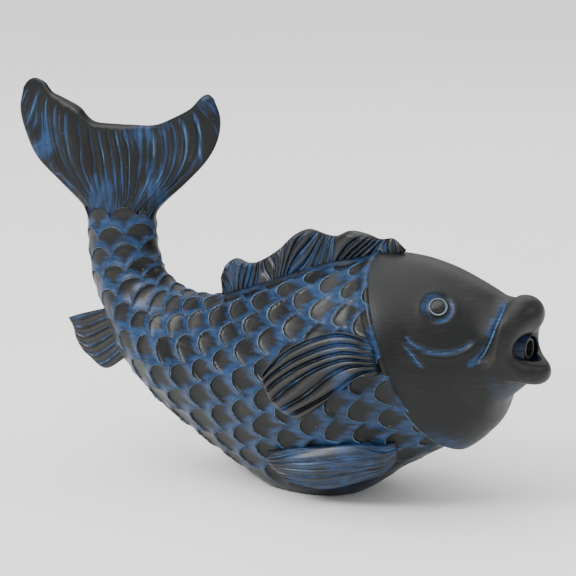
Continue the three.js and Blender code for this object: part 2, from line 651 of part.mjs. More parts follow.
// ---- Bung in the pour hole under the belly ----
const bungPlace = new THREE.Vector3(BUNG_PLACE, 0, 0);
const bungHead = BUNG_RADIUS + BUNG_HEAD;
const bungRise = WALL + 3;
const bungProfile = (grow) => [
  [0, 0.8 - grow],
  [bungHead + grow, 0.8 - grow],
  [bungHead + grow, 0.8 + BUNG_HEAD_DEPTH + grow],
  [BUNG_RADIUS + grow, 0.8 + BUNG_HEAD_DEPTH + grow],
  [BUNG_RADIUS - 1 + grow, bungRise + grow],
  [0, bungRise + grow],
];
const bung = turned(bungProfile(0), bungPlace, Z);
const pourHole = turned(bungProfile(GAP), bungPlace, Z).add(rod(bungHead + GAP, -5, 1, bungPlace, Z));

// ---- Castings ----
const slots = dorsal(GAP, SLOT_DEPTH + GAP)
  .add(pectoral(1, GAP))
  .add(pectoral(-1, GAP))
  .add(pelvic(1, GAP))
  .add(pelvic(-1, GAP))
  .add(anal(GAP, SLOT_DEPTH + GAP));
const trunk = outer
  .add(boss)
  .subtract(hollow)
  .subtract(bossRoom)
  .subtract(aheadOfGill(GAP))
  .add(
    collarOuter.subtract(hollow).intersect(lapSlab(-GAP - 2, LAP)).intersect(aboveFloor),
  )
  .subtract(slots)
  .subtract(rodHole)
  .subtract(inletHole)
  .subtract(spotFace)
  .subtract(pourHole);
const head = outer
  .add(lips())
  .add(muzzle())
  .subtract(hollow)
  .intersect(aheadOfGill(0))
  .subtract(collarSeat.intersect(lapSlab(-1, LAP + GAP)))
  .subtract(mouthHollow())
  .subtract(mouthRoom)
  .subtract(grommetRoom)
  .subtract(grommetHole)
  .subtract(slots)
  .subtract(eyeSocket(1))
  .subtract(eyeSocket(-1));

// ---- Finishes ----
const finish = (color, roughness, metalness = 0) =>
  new THREE.MeshStandardMaterial({ color, roughness, metalness });
const cast = finish(0x2b3440, 0.45);
const eyeGloss = finish(0x16181b, 0.2);
const bronze = finish(0x6d5a3c, 0.45, 0.9);
const rubber = finish(0x1c1c1c, 0.8);
const clearHose = finish(0xb9c4c4, 0.35);
const steel = finish(0xa8abad, 0.3, 0.9);
const blackPlastic = finish(0x202225, 0.5);

const carp = new THREE.Group();
carp.add(
  node("head_casting", head, cast),
  node("trunk_casting", trunk, cast),
  node("tail_fin", tailFin().subtract(rodHole), cast),
  node("dorsal_fin", dorsal(0, SLOT_DEPTH), cast),
  node("anal_fin", anal(0, SLOT_DEPTH), cast),
  node("tail_rod", tailRod, steel),
  node("spout_pipe", pipe, bronze),
  node("spout_grommet", grommet, rubber),
  node("inner_hose", hose(), clearHose),
  node("hose_clip_front", frontClip, steel),
  node("hose_clip_rear", rearClip, steel),
  node("inlet_bulkhead", bulkhead, blackPlastic),
  node("inlet_gasket", gasket, rubber),
  node("inlet_back_nut", backNut, blackPlastic),
  node("union_nut", unionNut, blackPlastic),
  node("union_washer", unionWasher, rubber),
  node("hose_elbow", elbow(), blackPlastic),
  node("belly_bung", bung, rubber),
);
for (const [hand, name] of [[1, "left"], [-1, "right"]])
  carp.add(
    node("eye_" + name, eye(hand), eyeGloss),
    node("pectoral_fin_" + name, pectoral(hand, 0), cast),
    node("pelvic_fin_" + name, pelvic(hand, 0).intersect(aboveGround), cast),
  );

export default carp;
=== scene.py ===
# %% [markdown]
# # A cast carp for the edge of a pond
# The object is a hollow cast figure that rests on its belly, with water leaving through its mouth.
# The engineering model comes first. It gives every piece its place, so nothing below is fitted by eye.

# %% Load the frame
import math
import bpy
import numpy as np
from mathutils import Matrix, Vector


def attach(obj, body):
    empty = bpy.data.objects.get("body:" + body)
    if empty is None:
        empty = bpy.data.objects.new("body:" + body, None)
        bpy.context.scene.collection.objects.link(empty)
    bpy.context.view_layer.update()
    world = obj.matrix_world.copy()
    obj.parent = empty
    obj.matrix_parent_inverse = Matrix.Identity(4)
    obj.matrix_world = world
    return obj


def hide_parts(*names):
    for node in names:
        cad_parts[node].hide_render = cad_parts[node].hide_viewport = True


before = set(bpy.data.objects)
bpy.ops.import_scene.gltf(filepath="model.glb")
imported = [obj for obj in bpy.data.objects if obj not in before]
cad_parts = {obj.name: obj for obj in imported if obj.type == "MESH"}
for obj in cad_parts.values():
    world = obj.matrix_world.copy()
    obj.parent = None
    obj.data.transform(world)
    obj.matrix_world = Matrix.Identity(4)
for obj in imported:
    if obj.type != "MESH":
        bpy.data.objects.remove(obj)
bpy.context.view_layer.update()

# %% [markdown]
# ## The stage
# A small figure is shown on a pale floor under large soft lights, so that its satin finish carries
# broad highlights and no hard glints. One long lens stands a little above it, ahead of its right side.

# %% Floor
MM = 0.001


def finish_piece(piece, body, node):
    """Hangs a piece on the body it rides on, and hides the solid it stands for."""
    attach(piece, body)
    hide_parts(node)
    print(piece.name, "has", len(piece.data.polygons), "faces")


bpy.ops.object.select_all(action="DESELECT")
bpy.ops.mesh.primitive_plane_add(size=14, location=(0, 0, 0))
floor = bpy.context.object
floor.name = "floor"
bpy.ops.object.mode_set(mode="EDIT")
bpy.ops.mesh.subdivide(number_cuts=6)
bpy.ops.object.mode_set(mode="OBJECT")
print("the floor is", round(floor.dimensions.x), "m wide")

# %% Lights and world
LIGHTS = (
    # name, place, size, power
    ("key", (-0.85, -1.35, 1.2), 0.7, 30),
    ("fill", (1.5, -1.2, 0.9), 1.4, 7),
    ("front", (1.7, 0.4, 1.1), 0.8, 7),
    ("back", (-0.3, 1.5, 1.7), 1.6, 12),
)
for name, place, size, power in LIGHTS:
    bpy.ops.object.light_add(type="AREA", location=place)
    light = bpy.context.object
    light.name = name + "_light"
    light.data.size = size
    light.data.energy = power
    light.rotation_euler = (Vector((0, 0, 0.1)) - Vector(place)).to_track_quat("-Z", "Y").to_euler()

bpy.ops.object.light_add(type="SUN", location=(0, 0, 3), rotation=(math.radians(12), math.radians(-14), 0))
ceiling = bpy.context.object
ceiling.name = "ceiling_light"
ceiling.data.energy = 2.7
ceiling.data.angle = math.radians(70)
world = bpy.data.worlds.new("studio")
bpy.context.scene.world = world
world.use_nodes = True
world.node_tree.nodes["Background"].inputs["Color"].default_value = (1, 1, 1, 1)
world.node_tree.nodes["Background"].inputs["Strength"].default_value = 0.6
print(len(LIGHTS) + 1, "soft lights")

# %% Camera
VIEW_TURN, VIEW_RISE = math.radians(30), math.radians(12)
VIEW_DISTANCE = 1.3
AIM = Vector((-0.022, 0, 0.1226))
LENS = 131.05  # millimetres, on a sensor 36 mm wide
bpy.ops.object.camera_add()
camera = bpy.context.object
away = Vector((math.sin(VIEW_TURN) * math.cos(VIEW_RISE), -math.cos(VIEW_TURN) * math.cos(VIEW_RISE),
               math.sin(VIEW_RISE)))
camera.location = AIM + away * VIEW_DISTANCE
camera.rotation_euler = away.to_track_quat("Z", "Y").to_euler()
camera.data.sensor_width = 36
camera.data.lens = LENS
camera.data.clip_end = 50
bpy.context.scene.camera = camera
print("the camera stands", VIEW_DISTANCE, "m away")

# %% [markdown]
# ## Shader maths
# Patterns such as scales and brushed paint are sums of simple functions. The class below wraps one
# socket of a shader node, so that they can be written as ordinary expressions.


# %% A socket that can be added, multiplied and compared
class Paint:
    """One output socket of a node tree, with the usual operators."""

    def __init__(self, tree, socket):
        self.tree, self.socket = tree, socket

    def node(self, kind, settings=(), **inputs):
        """Adds a node. Settings are set first, then inputs by name, or in_0, in_1 by number."""
        made = self.tree.nodes.new(kind)
        for key, value in dict(settings).items():
            setattr(made, key, value)
        for key, value in inputs.items():
            into = made.inputs[int(key[3:]) if key.startswith("in_") else key.replace("_", " ")]
            if isinstance(value, Paint):
                self.tree.links.new(value.socket, into)
            else:
                into.default_value = value
        return made

    def out(self, kind, output, settings=(), **inputs):
        return Paint(self.tree, self.node(kind, settings, **inputs).outputs[output])

    def maths(self, operation, *values):
        inputs = {"in_%d" % i: value for i, value in enumerate(values)}
        return self.out("ShaderNodeMath", 0, {"operation": operation}, **inputs)

    def apply(self, operation, *others):
        """A function of this number, such as ROUND, or of this number and others."""
        return self.maths(operation, self, *others)

    def __add__(self, other):
        return self.maths("ADD", self, other)

    def __sub__(self, other):
        return self.maths("SUBTRACT", self, other)

    def __rsub__(self, other):
        return self.maths("SUBTRACT", other, self)

    def __mul__(self, other):
        return self.maths("MULTIPLY", self, other)

    def __pow__(self, other):
        return self.maths("POWER", self, other)

    def __lt__(self, other):
        return self.maths("LESS_THAN", self, other)

    __radd__, __rmul__ = __add__, __mul__

    def smooth(self, low, high):
        """Runs from 0 at low to 1 at high."""
        return self.out("ShaderNodeMapRange", 0, {"interpolation_type": "SMOOTHSTEP"}, Value=self,
                        From_Min=low, From_Max=high)

    def mix(self, low, high):
        """A number between low, where this is 0, and high, where it is 1."""
        return self.out("ShaderNodeMix", 0, {"data_type": "FLOAT"}, Factor=self, in_2=low, in_3=high)

    def blend(self, low, high):
        """A colour between low, where this is 0, and high, where it is 1."""
        return self.out("ShaderNodeMix", 2, {"data_type": "RGBA"}, in_0=self, in_6=low, in_7=high)


def srgb(red, green, blue):
    """A colour as a screen shows it, 0 to 255, turned into the light that it stands for."""
    return tuple(round((c / 255) ** 2.2, 5) for c in (red, green, blue)) + (1.0,)


def new_material(name):
    """An empty material: its shader and a Paint to start expressions from."""
    made = bpy.data.materials.new(name)
    made.use_nodes = True
    shader = made.node_tree.nodes["Principled BSDF"]
    place = made.node_tree.nodes.new("ShaderNodeTexCoord").outputs["Object"]
    return made, shader, Paint(made.node_tree, place)


def connect(value, socket):
    value.tree.links.new(value.socket, socket)


def bumps(height, distance, strength=1.0):
    return height.out("ShaderNodeBump", 0, Height=height, Distance=distance, Strength=strength)


print("expressions such as 1 - mask * 0.5 now make nodes")

# %% Floor finish
pale, pale_shader, at = new_material("pale_floor")
mottle = at.out("ShaderNodeTexNoise", 0, Vector=at, Scale=3.0, Detail=3.0)
connect(mottle.blend(srgb(246, 246, 245), srgb(252, 252, 251)), pale_shader.inputs["Base Color"])
pale_shader.inputs["Roughness"].default_value = 0.9
floor.data.materials.append(pale)
print("floor:", pale.name)

# %% [markdown]
# ## The body's shape
# The sculptor's clay was built on one smooth curved body, so the body is described as ribs: for each,
# where the back and the belly lie in the plane of symmetry, and half the width. Curves through the
# ribs give the skin at any place. A scale, a fin's root or a groove is then placed on that skin.
# Scales and grooves need tens of thousands of small moves, which no one would push by hand. So each
# cast piece starts as a grid from the mesh tools, and code moves its points like a sculpting brush.

# %% Ribs and the skin between them
RIBS = np.array([
    # back x, back z, belly x, belly z, half width
    (147, 133, 150, 78, 19), (132, 139.5, 137, 52, 33), (106, 148.5, 108, 32, 46),
    (79, 152, 79, 15, 53), (41, 146, 41, -5, 55), (8, 135, 6, -7, 51), (-20, 124, -24, 4, 45),
    (-46, 115, -62, 19, 38), (-68, 113, -97, 37, 31), (-83, 117, -126, 65, 24),
    (-93, 126, -142, 98, 19), (-97, 141, -148.5, 128, 16), (-98, 158, -150, 150, 14.5),
    (-96.5, 168, -153, 162, 14),
], float)
MIDDLE_X = 22  # the origin lies under the middle of the belly
RIBS[:, [0, 2]] -= MIDDLE_X
LAST_RIB = len(RIBS) - 1
SPANS = 12  # a share of the body, times this, is a place among the ribs


def along(table, place):
    """Values of a table of rows at a place counted in rows, on a smooth curve through them."""
    last = len(table) - 1
    place = np.clip(place, 0, last - 1e-9)
    i = place.astype(int)
    f = (place - i)[..., None]
    b, c = table[i], table[i + 1]
    a = np.where(i[..., None] > 0, table[np.maximum(i - 1, 0)], 2 * b - c)
    d = np.where(i[..., None] + 2 <= last, table[np.minimum(i + 2, last)], 2 * c - b)
    return 0.5 * (2 * b + (c - a) * f + (2 * a - 5 * b + 4 * c - d) * f**2
                  + (3 * b - a - 3 * c + d) * f**3)


def skin(rib, rise):
    """Points of the skin in millimetres. rise is the angle up from the left flank, in radians."""
    row = along(RIBS, rib)
    middle = (row[..., [0, 1]] + row[..., [2, 3]]) / 2
    up = (row[..., [0, 1]] - row[..., [2, 3]]) / 2
    x = middle[..., 0] + up[..., 0] * np.sin(rise)
    z = middle[..., 1] + up[..., 1] * np.sin(rise)
    return np.stack([x, row[..., 4] * np.cos(rise), z], -1)


def outward(points):
    """Unit normals of a grid of points whose columns close round."""
    down = np.gradient(points, axis=0)
    across = (np.roll(points, -1, 1) - np.roll(points, 1, 1)) / 2
    normal = np.cross(across, down)
    return normal / np.maximum(np.linalg.norm(normal, axis=-1, keepdims=True), 1e-9)


def rest_on_ground(points):
    """Flattens what would pass below the ground."""
    points[..., 2] = np.maximum(points[..., 2], 0)


spine_ribs = np.linspace(0, LAST_RIB, 2000)
spine = along(RIBS, spine_ribs)
spine_xz = (spine[:, [0, 1]] + spine[:, [2, 3]]) / 2
spine_length = np.concatenate([[0], np.cumsum(np.linalg.norm(np.diff(spine_xz, axis=0), axis=1))])
print("the body is", round(spine_length[-1]), "mm long along its middle")


# %% From a grid of points to a closed piece
def smoothstep(value, low, high):
    t = np.clip((value - low) / (high - low), 0, 1)
    return t * t * (3 - 2 * t)


def bell(distance, width):
    """1 at no distance, fading to nothing about two widths away."""
    return np.exp(-((distance / width) ** 2))


def below(turn, low, high):
    """0 on the flank and 1 under the fish."""
    return smoothstep(-np.sin(turn), low, high)


def make_piece(name, points, **attributes):
    """Moves a grid's points, in millimetres, and joins the seam where its columns close round.

    An attribute is up to three numbers at each point, which the piece's paint reads."""
    rows, columns = points.shape[:2]
    bpy.ops.object.select_all(action="DESELECT")
    bpy.ops.mesh.primitive_grid_add(x_subdivisions=columns, y_subdivisions=rows - 1, size=2)
    piece = bpy.context.object
    piece.name = piece.data.name = name
    mesh = piece.data
    flat = np.empty(len(mesh.vertices) * 3)
    mesh.vertices.foreach_get("co", flat)
    flat = flat.reshape(-1, 3)
    column = np.rint((flat[:, 0] + 1) / 2 * columns).astype(int) % columns
    row = np.rint((flat[:, 1] + 1) / 2 * (rows - 1)).astype(int)
    mesh.vertices.foreach_set("co", (points[row, column] * MM).ravel())
    for key, values in attributes.items():
        stored = np.zeros((len(row), 3), np.float32)
        for i, value in enumerate(values):
            stored[:, i] = value[row, column]
        layer = mesh.attributes.new(key, "FLOAT_VECTOR", "POINT")
        layer.data.foreach_set("vector", stored.ravel())
    bpy.ops.object.mode_set(mode="EDIT")
    bpy.ops.mesh.select_all(action="SELECT")
    bpy.ops.mesh.remove_doubles(threshold=1e-6)
    bpy.ops.mesh.normals_make_consistent(inside=False)
    bpy.ops.object.mode_set(mode="OBJECT")
    bpy.ops.object.shade_smooth()
    return piece


print("a grid's points can now be placed on the skin")

# %% [markdown]
# ## Scales
# A carp's scales overlap like roof tiles. Each shows a rounded free edge towards the tail, and sits
# half a width away from its neighbours in the next column. Hundreds of separate scales would be heavy
# and would gape where the body curves. So the lattice is worked out as two numbers on the skin: how
# many columns back, and how many scales up the flank. The mesh is raised by that lattice, and the
# paint reads the same two numbers, so colour and relief always meet on the same line.

# %% Where the gill cover ends, and how far round the skin a place is
COLUMNS = 288  # points round the body
# the angles start at the belly, and go up the left flank and round
rise = -np.pi / 2 + 2 * np.pi * np.arange(COLUMNS) / COLUMNS


def gill_rib(rise):
    return SPANS * (0.208 + 0.081 * np.sin(rise) + 0.002 * np.sin(rise) ** 2)


def flank_distance(rib, rise):
    """Millimetres round the skin from the middle of the flank, up or down."""
    row = along(RIBS, rib)
    tall = np.hypot(row[..., 0] - row[..., 2], row[..., 1] - row[..., 3]) / 2
    turn = np.where(rise <= np.pi / 2, rise, np.pi - rise)
    steps = turn[..., None] * (np.arange(16) + 0.5) / 16
    return turn * np.hypot(row[..., 4, None] * np.sin(steps), tall[..., None] * np.cos(steps)).mean(-1)


def back_distance(rib, rise):
    """Millimetres round the skin from the middle of the back."""
    top = flank_distance(rib, np.full(rib.shape, np.pi / 2))
    return top - flank_distance(rib, rise)


print("the gill cover ends between ribs", round(gill_rib(-np.pi / 2), 2), "and",
      round(gill_rib(np.pi / 2), 2))

# %% The lattice
PITCH = 17.5  # from one column of scales to the next, on the flank
STEM_PITCH = 12.4  # and where the body narrows to the tail
SCALE_WIDTH, STEM_WIDTH = 18, 20.5
EVEN_COLUMN_AT = 187  # a column of scale tips, measured along the body's middle
LAST_COLUMN = 23
EDGE_DEPTH, EDGE_POWER = 0.55, 2.3  # how round the free edges are

reach = np.linspace(0, spine_length[-1], 1200)
pitch = PITCH + (STEM_PITCH - PITCH) * np.clip((reach - 225) / 65, 0, 1)
count = np.concatenate([[0], np.cumsum(np.diff(reach) / pitch[1:])])
count += 12 - np.interp(EVEN_COLUMN_AT, reach, count)


def lattice(rib, rise):
    """Scale columns back along the body, and scales up the flank."""
    length = np.interp(rib, spine_ribs, spine_length)
    up = flank_distance(rib, rise)
    side = np.where(rise <= np.pi / 2, 0.0, 1.7)
    width = SCALE_WIDTH + (STEM_WIDTH - SCALE_WIDTH) * smoothstep(length, 235, 300)
    across = (up - 0.5) / width
    back = np.interp(length, reach, count)
    calm = 1 - smoothstep(length, 250, 320)
    back = back + calm * 0.07 * np.sin(2.1 * across + 0.9 * back + side) * np.sin(0.7 * back + 2.0 + side)
    across = across + calm * 0.05 * np.sin(1.7 * back + 1.3 * across + 2 * side)
    return back, across


def scale_place(back, across):
    """Distances, in columns, to the scale's own free edge and from the edge that overlaps it."""
    column = np.ceil(back)
    half = 0.5 * np.mod(column, 2)
    own = np.mod(across - half + 0.5, 1) - 0.5
    other = np.mod(across - half, 1) - 0.5
    own_edge = column - EDGE_DEPTH * np.abs(2 * own) ** EDGE_POWER
    next_edge = column + 1 - EDGE_DEPTH * np.abs(2 * other) ** EDGE_POWER
    first = back < own_edge
    to_edge = np.where(first, own_edge, next_edge) - back
    from_cover = back - np.where(first, next_edge - 2, own_edge)
    return to_edge, from_cover, np.where(first, own, other)


print("the flank has", round(count[-1] - count[0]), "columns of scales from the lips to the tail")

# %% The scaled body
LENGTH_ROWS = 300
CREST = 2.1  # how far a scale's free edge stands out
BACK_RIDGE = 1.2  # the fold on each side of the back fin


def scale_relief(back, across):
    to_edge, from_cover, own = scale_place(back, across)
    rim = np.sin(np.pi / 2 * np.clip(to_edge / 0.13 + 0.42, 0, 1))
    along_scale = from_cover / np.maximum(from_cover + to_edge, 0.05)
    rising = 0.14 + 0.86 * np.sin(np.pi / 2 * np.clip(along_scale / 0.6, 0, 1))
    falling = 1 - 0.34 * (np.clip(along_scale - 0.6, 0, 1) / 0.4) ** 2
    domed = CREST * rising * falling * rim * (1 - 0.5 * (2 * own) ** 2)
    return domed - 0.25 * bell(from_cover, 0.08)


last_rib = np.full(COLUMNS, float(LAST_RIB) - 0.3)
for _ in range(6):
    back, across = lattice(last_rib, rise)
    other = np.mod(across - 0.5 * (LAST_COLUMN % 2) + 0.5, 1) - 0.5
    wanted = LAST_COLUMN - 0.01 - EDGE_DEPTH * np.abs(2 * other) ** EDGE_POWER
    last_rib = np.interp(np.interp(wanted, count, reach), spine_length, spine_ribs)

share = np.linspace(0, 1, LENGTH_ROWS)[:, None]
first_rib = gill_rib(rise) - 0.12
rib = first_rib + (last_rib - first_rib) * share
turn = np.broadcast_to(rise, rib.shape)
back, across = lattice(rib, turn)
from_back = back_distance(rib, turn)
points = skin(rib, turn)
rest_on_ground(points)
up_flank = flank_distance(rib, turn)
beside_fin = smoothstep(rib, 2.9, 3.6) * (1 - smoothstep(rib, 6.6, 7.3))
scaled = smoothstep(from_back, 9, 14) * beside_fin + (1 - beside_fin)
scaled = scaled * smoothstep(points[..., 2], 3, 14) * (0.35 + 0.65 * smoothstep(up_flank, -78, -52))
calmer = 1 - 0.5 * smoothstep(rib, 7.6, 9.6)  # flatter scales on the narrow stem
relief = scaled * calmer * scale_relief(back, across)
relief += BACK_RIDGE * beside_fin * bell(from_back - 11, 2.2)
emerging = smoothstep(rib - first_rib, 0.1, 0.5)
relief = relief * emerging
tucked = 2.5 * (1 - smoothstep(rib - first_rib, 0.04, 0.2))
underside = below(turn, 0.15, 0.9) * smoothstep(points[..., 2], 4, 22)
fuller = (0.3 + 3.3 * smoothstep(rib, 5.6, 8.0) * (1 - smoothstep(rib, 9.5, 11))
          + 2.6 * (1 - smoothstep(rib, 2.6, 4.6)))
relief += fuller * underside
# how far under the fish a place is; the scales' paint darkens it there as painted shade
under = below(turn, -0.1, 0.8)
points = points + outward(points) * (relief - tucked)[..., None]
rest_on_ground(points)
ends = [points[:1].mean(1, keepdims=True), points[-1:].mean(1, keepdims=True) - [0, 0, 4]]
points = np.concatenate([ends[0] + 0 * points[:1], ends[0] + (points[:1] - ends[0]) * 0.6, points,
                         ends[1] + (points[-1:] - ends[1]) * 0.6 - [0, 0, 2], ends[1] + 0 * points[:1]])
back, across, scaled, under = [np.concatenate([v[:1]] * 2 + [v] + [v[-1:]] * 2)
                               for v in (back, across, scaled, under)]
trunk = make_piece("scaled_body", points, lattice=(back, across, scaled), under=(under,))
finish_piece(trunk, "carp", "trunk_casting")

# %% [markdown]
# ## The smooth head
# The head is one closed skin that runs from the rim of the gill cover over the cheeks, rolls round the
# lips, and turns back into the mouth. A subdivided sphere would pinch at the lips, so each of its lines
# is drawn as one profile from gill to throat, and the profiles stand side by side round the head.
# The carver's grooves are then pressed in along a few short curves.

# %% The lips
MOUTH_Z, MOUTH_HALF, MOUTH_RISE = 103.7, 12.0, 7.75
THROAT_X = 125.0  # the wall that carries the spout's grommet
# where the middle of the lips' tube lies, and its radius
LIP_CORNER, UPPER_LIP, LOWER_LIP = (153, 6.8), (158.8, 11.8), (169, 6.9)
LIP_Z, LIP_HALF_WIDTH, LIP_HALF_HEIGHT = 105.75, 19, 16.25


def lip_arc(turns, rise):
    """Points round the lips' tube. A turn of 0 faces forward and 90 degrees away from the mouth."""
    top = np.sin(rise) > 0
    share = np.sin(rise) ** 2
    x, radius = [corner + (np.where(top, upper, lower) - corner) * share
                 for corner, upper, lower in zip(LIP_CORNER, UPPER_LIP, LOWER_LIP)]
    x = x - MIDDLE_X
    radial = 0 * x[None] + np.radians(turns)[:, None]
    out = radius * np.sin(radial)
    inside = smoothstep(-np.array(turns, float), -20, 60)[:, None]
    y = (LIP_HALF_WIDTH + out) * np.cos(rise) * (1 - 0.24 * inside * np.sin(rise))
    z = LIP_Z + (LIP_HALF_HEIGHT + out) * np.sin(rise) + np.where(top, 1.4, 0.8) * share
    return np.stack([x + radius * np.cos(radial), y, z], -1)


def ellipse(x, half, tall, rise):
    """One ring of points inside the mouth, narrower at its top."""
    return np.stack([x + 0 * rise, half * np.cos(rise) * (1 - 0.2 * np.sin(rise)),
                     MOUTH_Z + tall * np.sin(rise)], -1)[None]


print("the mouth opens", 2 * MOUTH_HALF, "by", 2 * MOUTH_RISE, "mm")

# %% Profiles from the gill to the throat
CHEEK_ROWS, STEP_ROWS = 125, 8
LIP_TURNS = np.array([126, 104, 80, 56, 32, 8, -16, -40, -62, -80])

share = np.linspace(0, 1, CHEEK_ROWS)[:, None] ** 1.35
rib = gill_rib(rise) * (1 - share) + 0.75 * share
cheek = skin(rib, np.broadcast_to(rise, rib.shape))
neck = np.concatenate([skin(np.full((1, COLUMNS), place), rise[None]) for place in (0.45, 0.18)]
                      + [lip_arc(LIP_TURNS[:2], rise)])
chin_side = below(rise, 0.1, 0.9)
neck[0, :, 2] -= 1.6 * chin_side
neck[1, :, 2] -= 2.8 * chin_side
neck[:2, :, 0] += 1.2 * chin_side
toward_lips = np.array([0.24, 0.48, 0.68, 0.86])[:, None, None]
straight = cheek[-1:] * (1 - toward_lips) + lip_arc(LIP_TURNS[2:3], rise) * toward_lips
# there is no neck between the cheeks and the lips' corners
beside = smoothstep(np.cos(rise) ** 2, 0.0, 0.85)[:, None]
profile = np.concatenate([
    cheek[-1:], neck * (1 - beside) + straight * beside, lip_arc(LIP_TURNS[2:], rise),
    ellipse(THROAT_X + 17, MOUTH_HALF - 2.2, MOUTH_RISE + 0.4, rise),
    ellipse(THROAT_X + 6, MOUTH_HALF + 2.5, MOUTH_RISE + 4.7, rise),
    ellipse(THROAT_X + 0.6, MOUTH_HALF + 1.6, MOUTH_RISE + 3.6, rise),
    ellipse(THROAT_X, MOUTH_HALF - 2, MOUTH_RISE - 1, rise),
    ellipse(THROAT_X, 0, 0, rise),
])
place = np.arange(1, (len(profile) - 1) * STEP_ROWS + 1) / STEP_ROWS
muzzle = along(profile.reshape(len(profile), -1), place).reshape(-1, COLUMNS, 3)
head_points = np.concatenate([cheek, muzzle])
joined = bell(np.arange(len(head_points)) - CHEEK_ROWS, 9)[1:-1, None, None]
for _ in range(60):  # ease the cheeks into the muzzle
    eased = (head_points[:-2] + head_points[2:]) / 2
    head_points[1:-1] += (eased - head_points[1:-1]) * joined
rest_on_ground(head_points)
print("the head is", head_points.shape[0], "rows of", head_points.shape[1], "points")


# %% Grooves and folds
def on_right(points):
    """The same points, with the left flank folded over onto the right, and x from the tail's end."""
    return np.stack([points[..., 0] + MIDDLE_X, -np.abs(points[..., 1]), points[..., 2]], -1)


def line_distance(points, line):
    """How far each point is from a broken line on either flank, and how far along the line it is.

    A line of two numbers a point, x and z, is seen from the side and counts on any skin it crosses."""
    mirrored = on_right(points)
    if len(line[0]) == 2:
        mirrored = mirrored[..., [0, 2]]
    line = along(np.array(line, float), np.linspace(0, len(line) - 1, 40))
    nearest, place = np.full(points.shape[:-1], 1e9), np.zeros(points.shape[:-1])
    for i, (a, b) in enumerate(zip(line[:-1], line[1:])):
        t = np.clip(((mirrored - a) @ (b - a)) / ((b - a) @ (b - a)), 0, 1)
        away = np.linalg.norm(mirrored - a - t[..., None] * (b - a), axis=-1)
        place = np.where(away < nearest, (i + t) / (len(line) - 1), place)
        nearest = np.minimum(nearest, away)
    return nearest, place


SMILE = [(101, -43, 115.8), (108, -43.2, 108.8), (117.5, -40.4, 104.9), (127, -36.2, 104.3),
         (135, -31, 107.2), (141.8, -23.8, 115)]
CHEEK_FOLD = [(100.4, -46, 109.5), (106.8, -44.6, 104.3), (112.6, -43.6, 97.2), (116, -42.5, 95)]
JAW = [(150.8, 133), (151.4, 127.5), (150.8, 120.5), (149.4, 113), (146.8, 105.6), (143.8, 101),
       (139.4, 97.8)]
JAW_FOLD = [(155.2, 124), (154.6, 114), (152, 104.5), (148.4, 98.6), (143.6, 95)]
EYE = np.array([95.2 + MIDDLE_X, -28.8, 128.3])

smile, smile_at = line_distance(head_points, SMILE)
cheek_fold, cheek_fold_at = line_distance(head_points, CHEEK_FOLD)
jaw, jaw_at = line_distance(head_points, JAW)
jaw_fold, jaw_fold_at = line_distance(head_points, JAW_FOLD)
from_eye = np.linalg.norm(on_right(head_points) - EYE, axis=-1)


def jaw_x(z):
    """How far forward the jaw's crease lies at a height."""
    return np.interp(z, [z for _, z in JAW[::-1]], [x - MIDDLE_X for x, _ in JAW[::-1]])


def taper(place, fade=0.12):
    """Thins a groove towards both its ends."""
    return smoothstep(place, 0, fade) * (1 - smoothstep(place, 1 - fade, 1))


def muzzle_row(step):
    return CHEEK_ROWS + step * STEP_ROWS


row_number = np.arange(len(head_points))[:, None]
before_lips = 1 - smoothstep(row_number, muzzle_row(4), muzzle_row(5))
beside_jaw = smoothstep(np.abs(np.cos(rise)), 0.15, 0.5)
jaw_shape = before_lips * beside_jaw
on_cheek = 1 - smoothstep(row_number, CHEEK_ROWS - 4, muzzle_row(2))
relief = -1.2 * bell(smile, 1.4) * taper(smile_at, 0.2)
relief += 0.5 * bell(smile - 3.2, 1.8) * taper(smile_at, 0.25)
relief -= 1.0 * bell(cheek_fold, 1.2) * taper(cheek_fold_at)
relief -= 1.7 * bell(jaw, 1.4) * taper(jaw_at, 0.15) * jaw_shape
relief += 1.7 * bell(jaw_fold, 1.8) * taper(jaw_fold_at, 0.25) * jaw_shape
relief -= 1.1 * bell(from_eye - 7, 1.6) - 0.3 * bell(from_eye - 10.8, 2.2)
cover_length = np.linalg.norm(cheek - cheek[:1], axis=-1)
cover_length = np.concatenate([cover_length, np.full((len(muzzle), COLUMNS), 99.0)])
relief += 1.3 * (1 - smoothstep(cover_length, 2, 26)) - 1.3 * (1 - smoothstep(cover_length, 0, 1.6))
under_head = below(rise, 0.1, 0.8) * smoothstep(head_points[..., 2], 6, 26) * on_cheek
relief += 2.2 * under_head
throat = smoothstep(row_number, CHEEK_ROWS - 40, CHEEK_ROWS - 5) * on_cheek * below(rise, 0.3, 0.9)
relief += throat
relief = relief * (row_number < len(head_points) - 30)  # the wall round the spout stays plain
head_points = head_points + outward(head_points) * relief[..., None]
rest_on_ground(head_points)
print("deepest groove:", round(float(-relief.min()), 2), "mm")

# %% The closed head
hub = head_points[:1].mean(1, keepdims=True) + [6, 0, 0]
inner = head_points[:1] + (hub - head_points[:1]) * 0.08
closed = np.concatenate([hub + 0 * inner, hub + (inner - hub) * 0.5, inner, head_points])
blue = (0.75 * bell(smile, 2.2) * taper(smile_at, 0.15)
        + 0.7 * bell(cheek_fold, 1.9) * taper(cheek_fold_at, 0.3))
blue = blue + jaw_shape * bell(jaw, 2.0) * (0.7 + 0.2 * np.cos(6 * jaw_at))
behind = smoothstep(jaw_x(head_points[..., 2]) - head_points[..., 0], -1, 2)
streaks = 0.35 + 0.65 * np.cos(2.6 * np.pi * jaw_at) ** 2
behind_jaw = 0.6 * (1 - smoothstep(jaw, 1, 9)) * jaw_shape * behind * streaks
round_eye = np.arctan2(head_points[..., 2] - EYE[2], head_points[..., 0] + MIDDLE_X - EYE[0])
ring = bell(from_eye - 8.2, 1.7) * (0.75 - 0.35 * np.sin(2 * round_eye - 0.6))
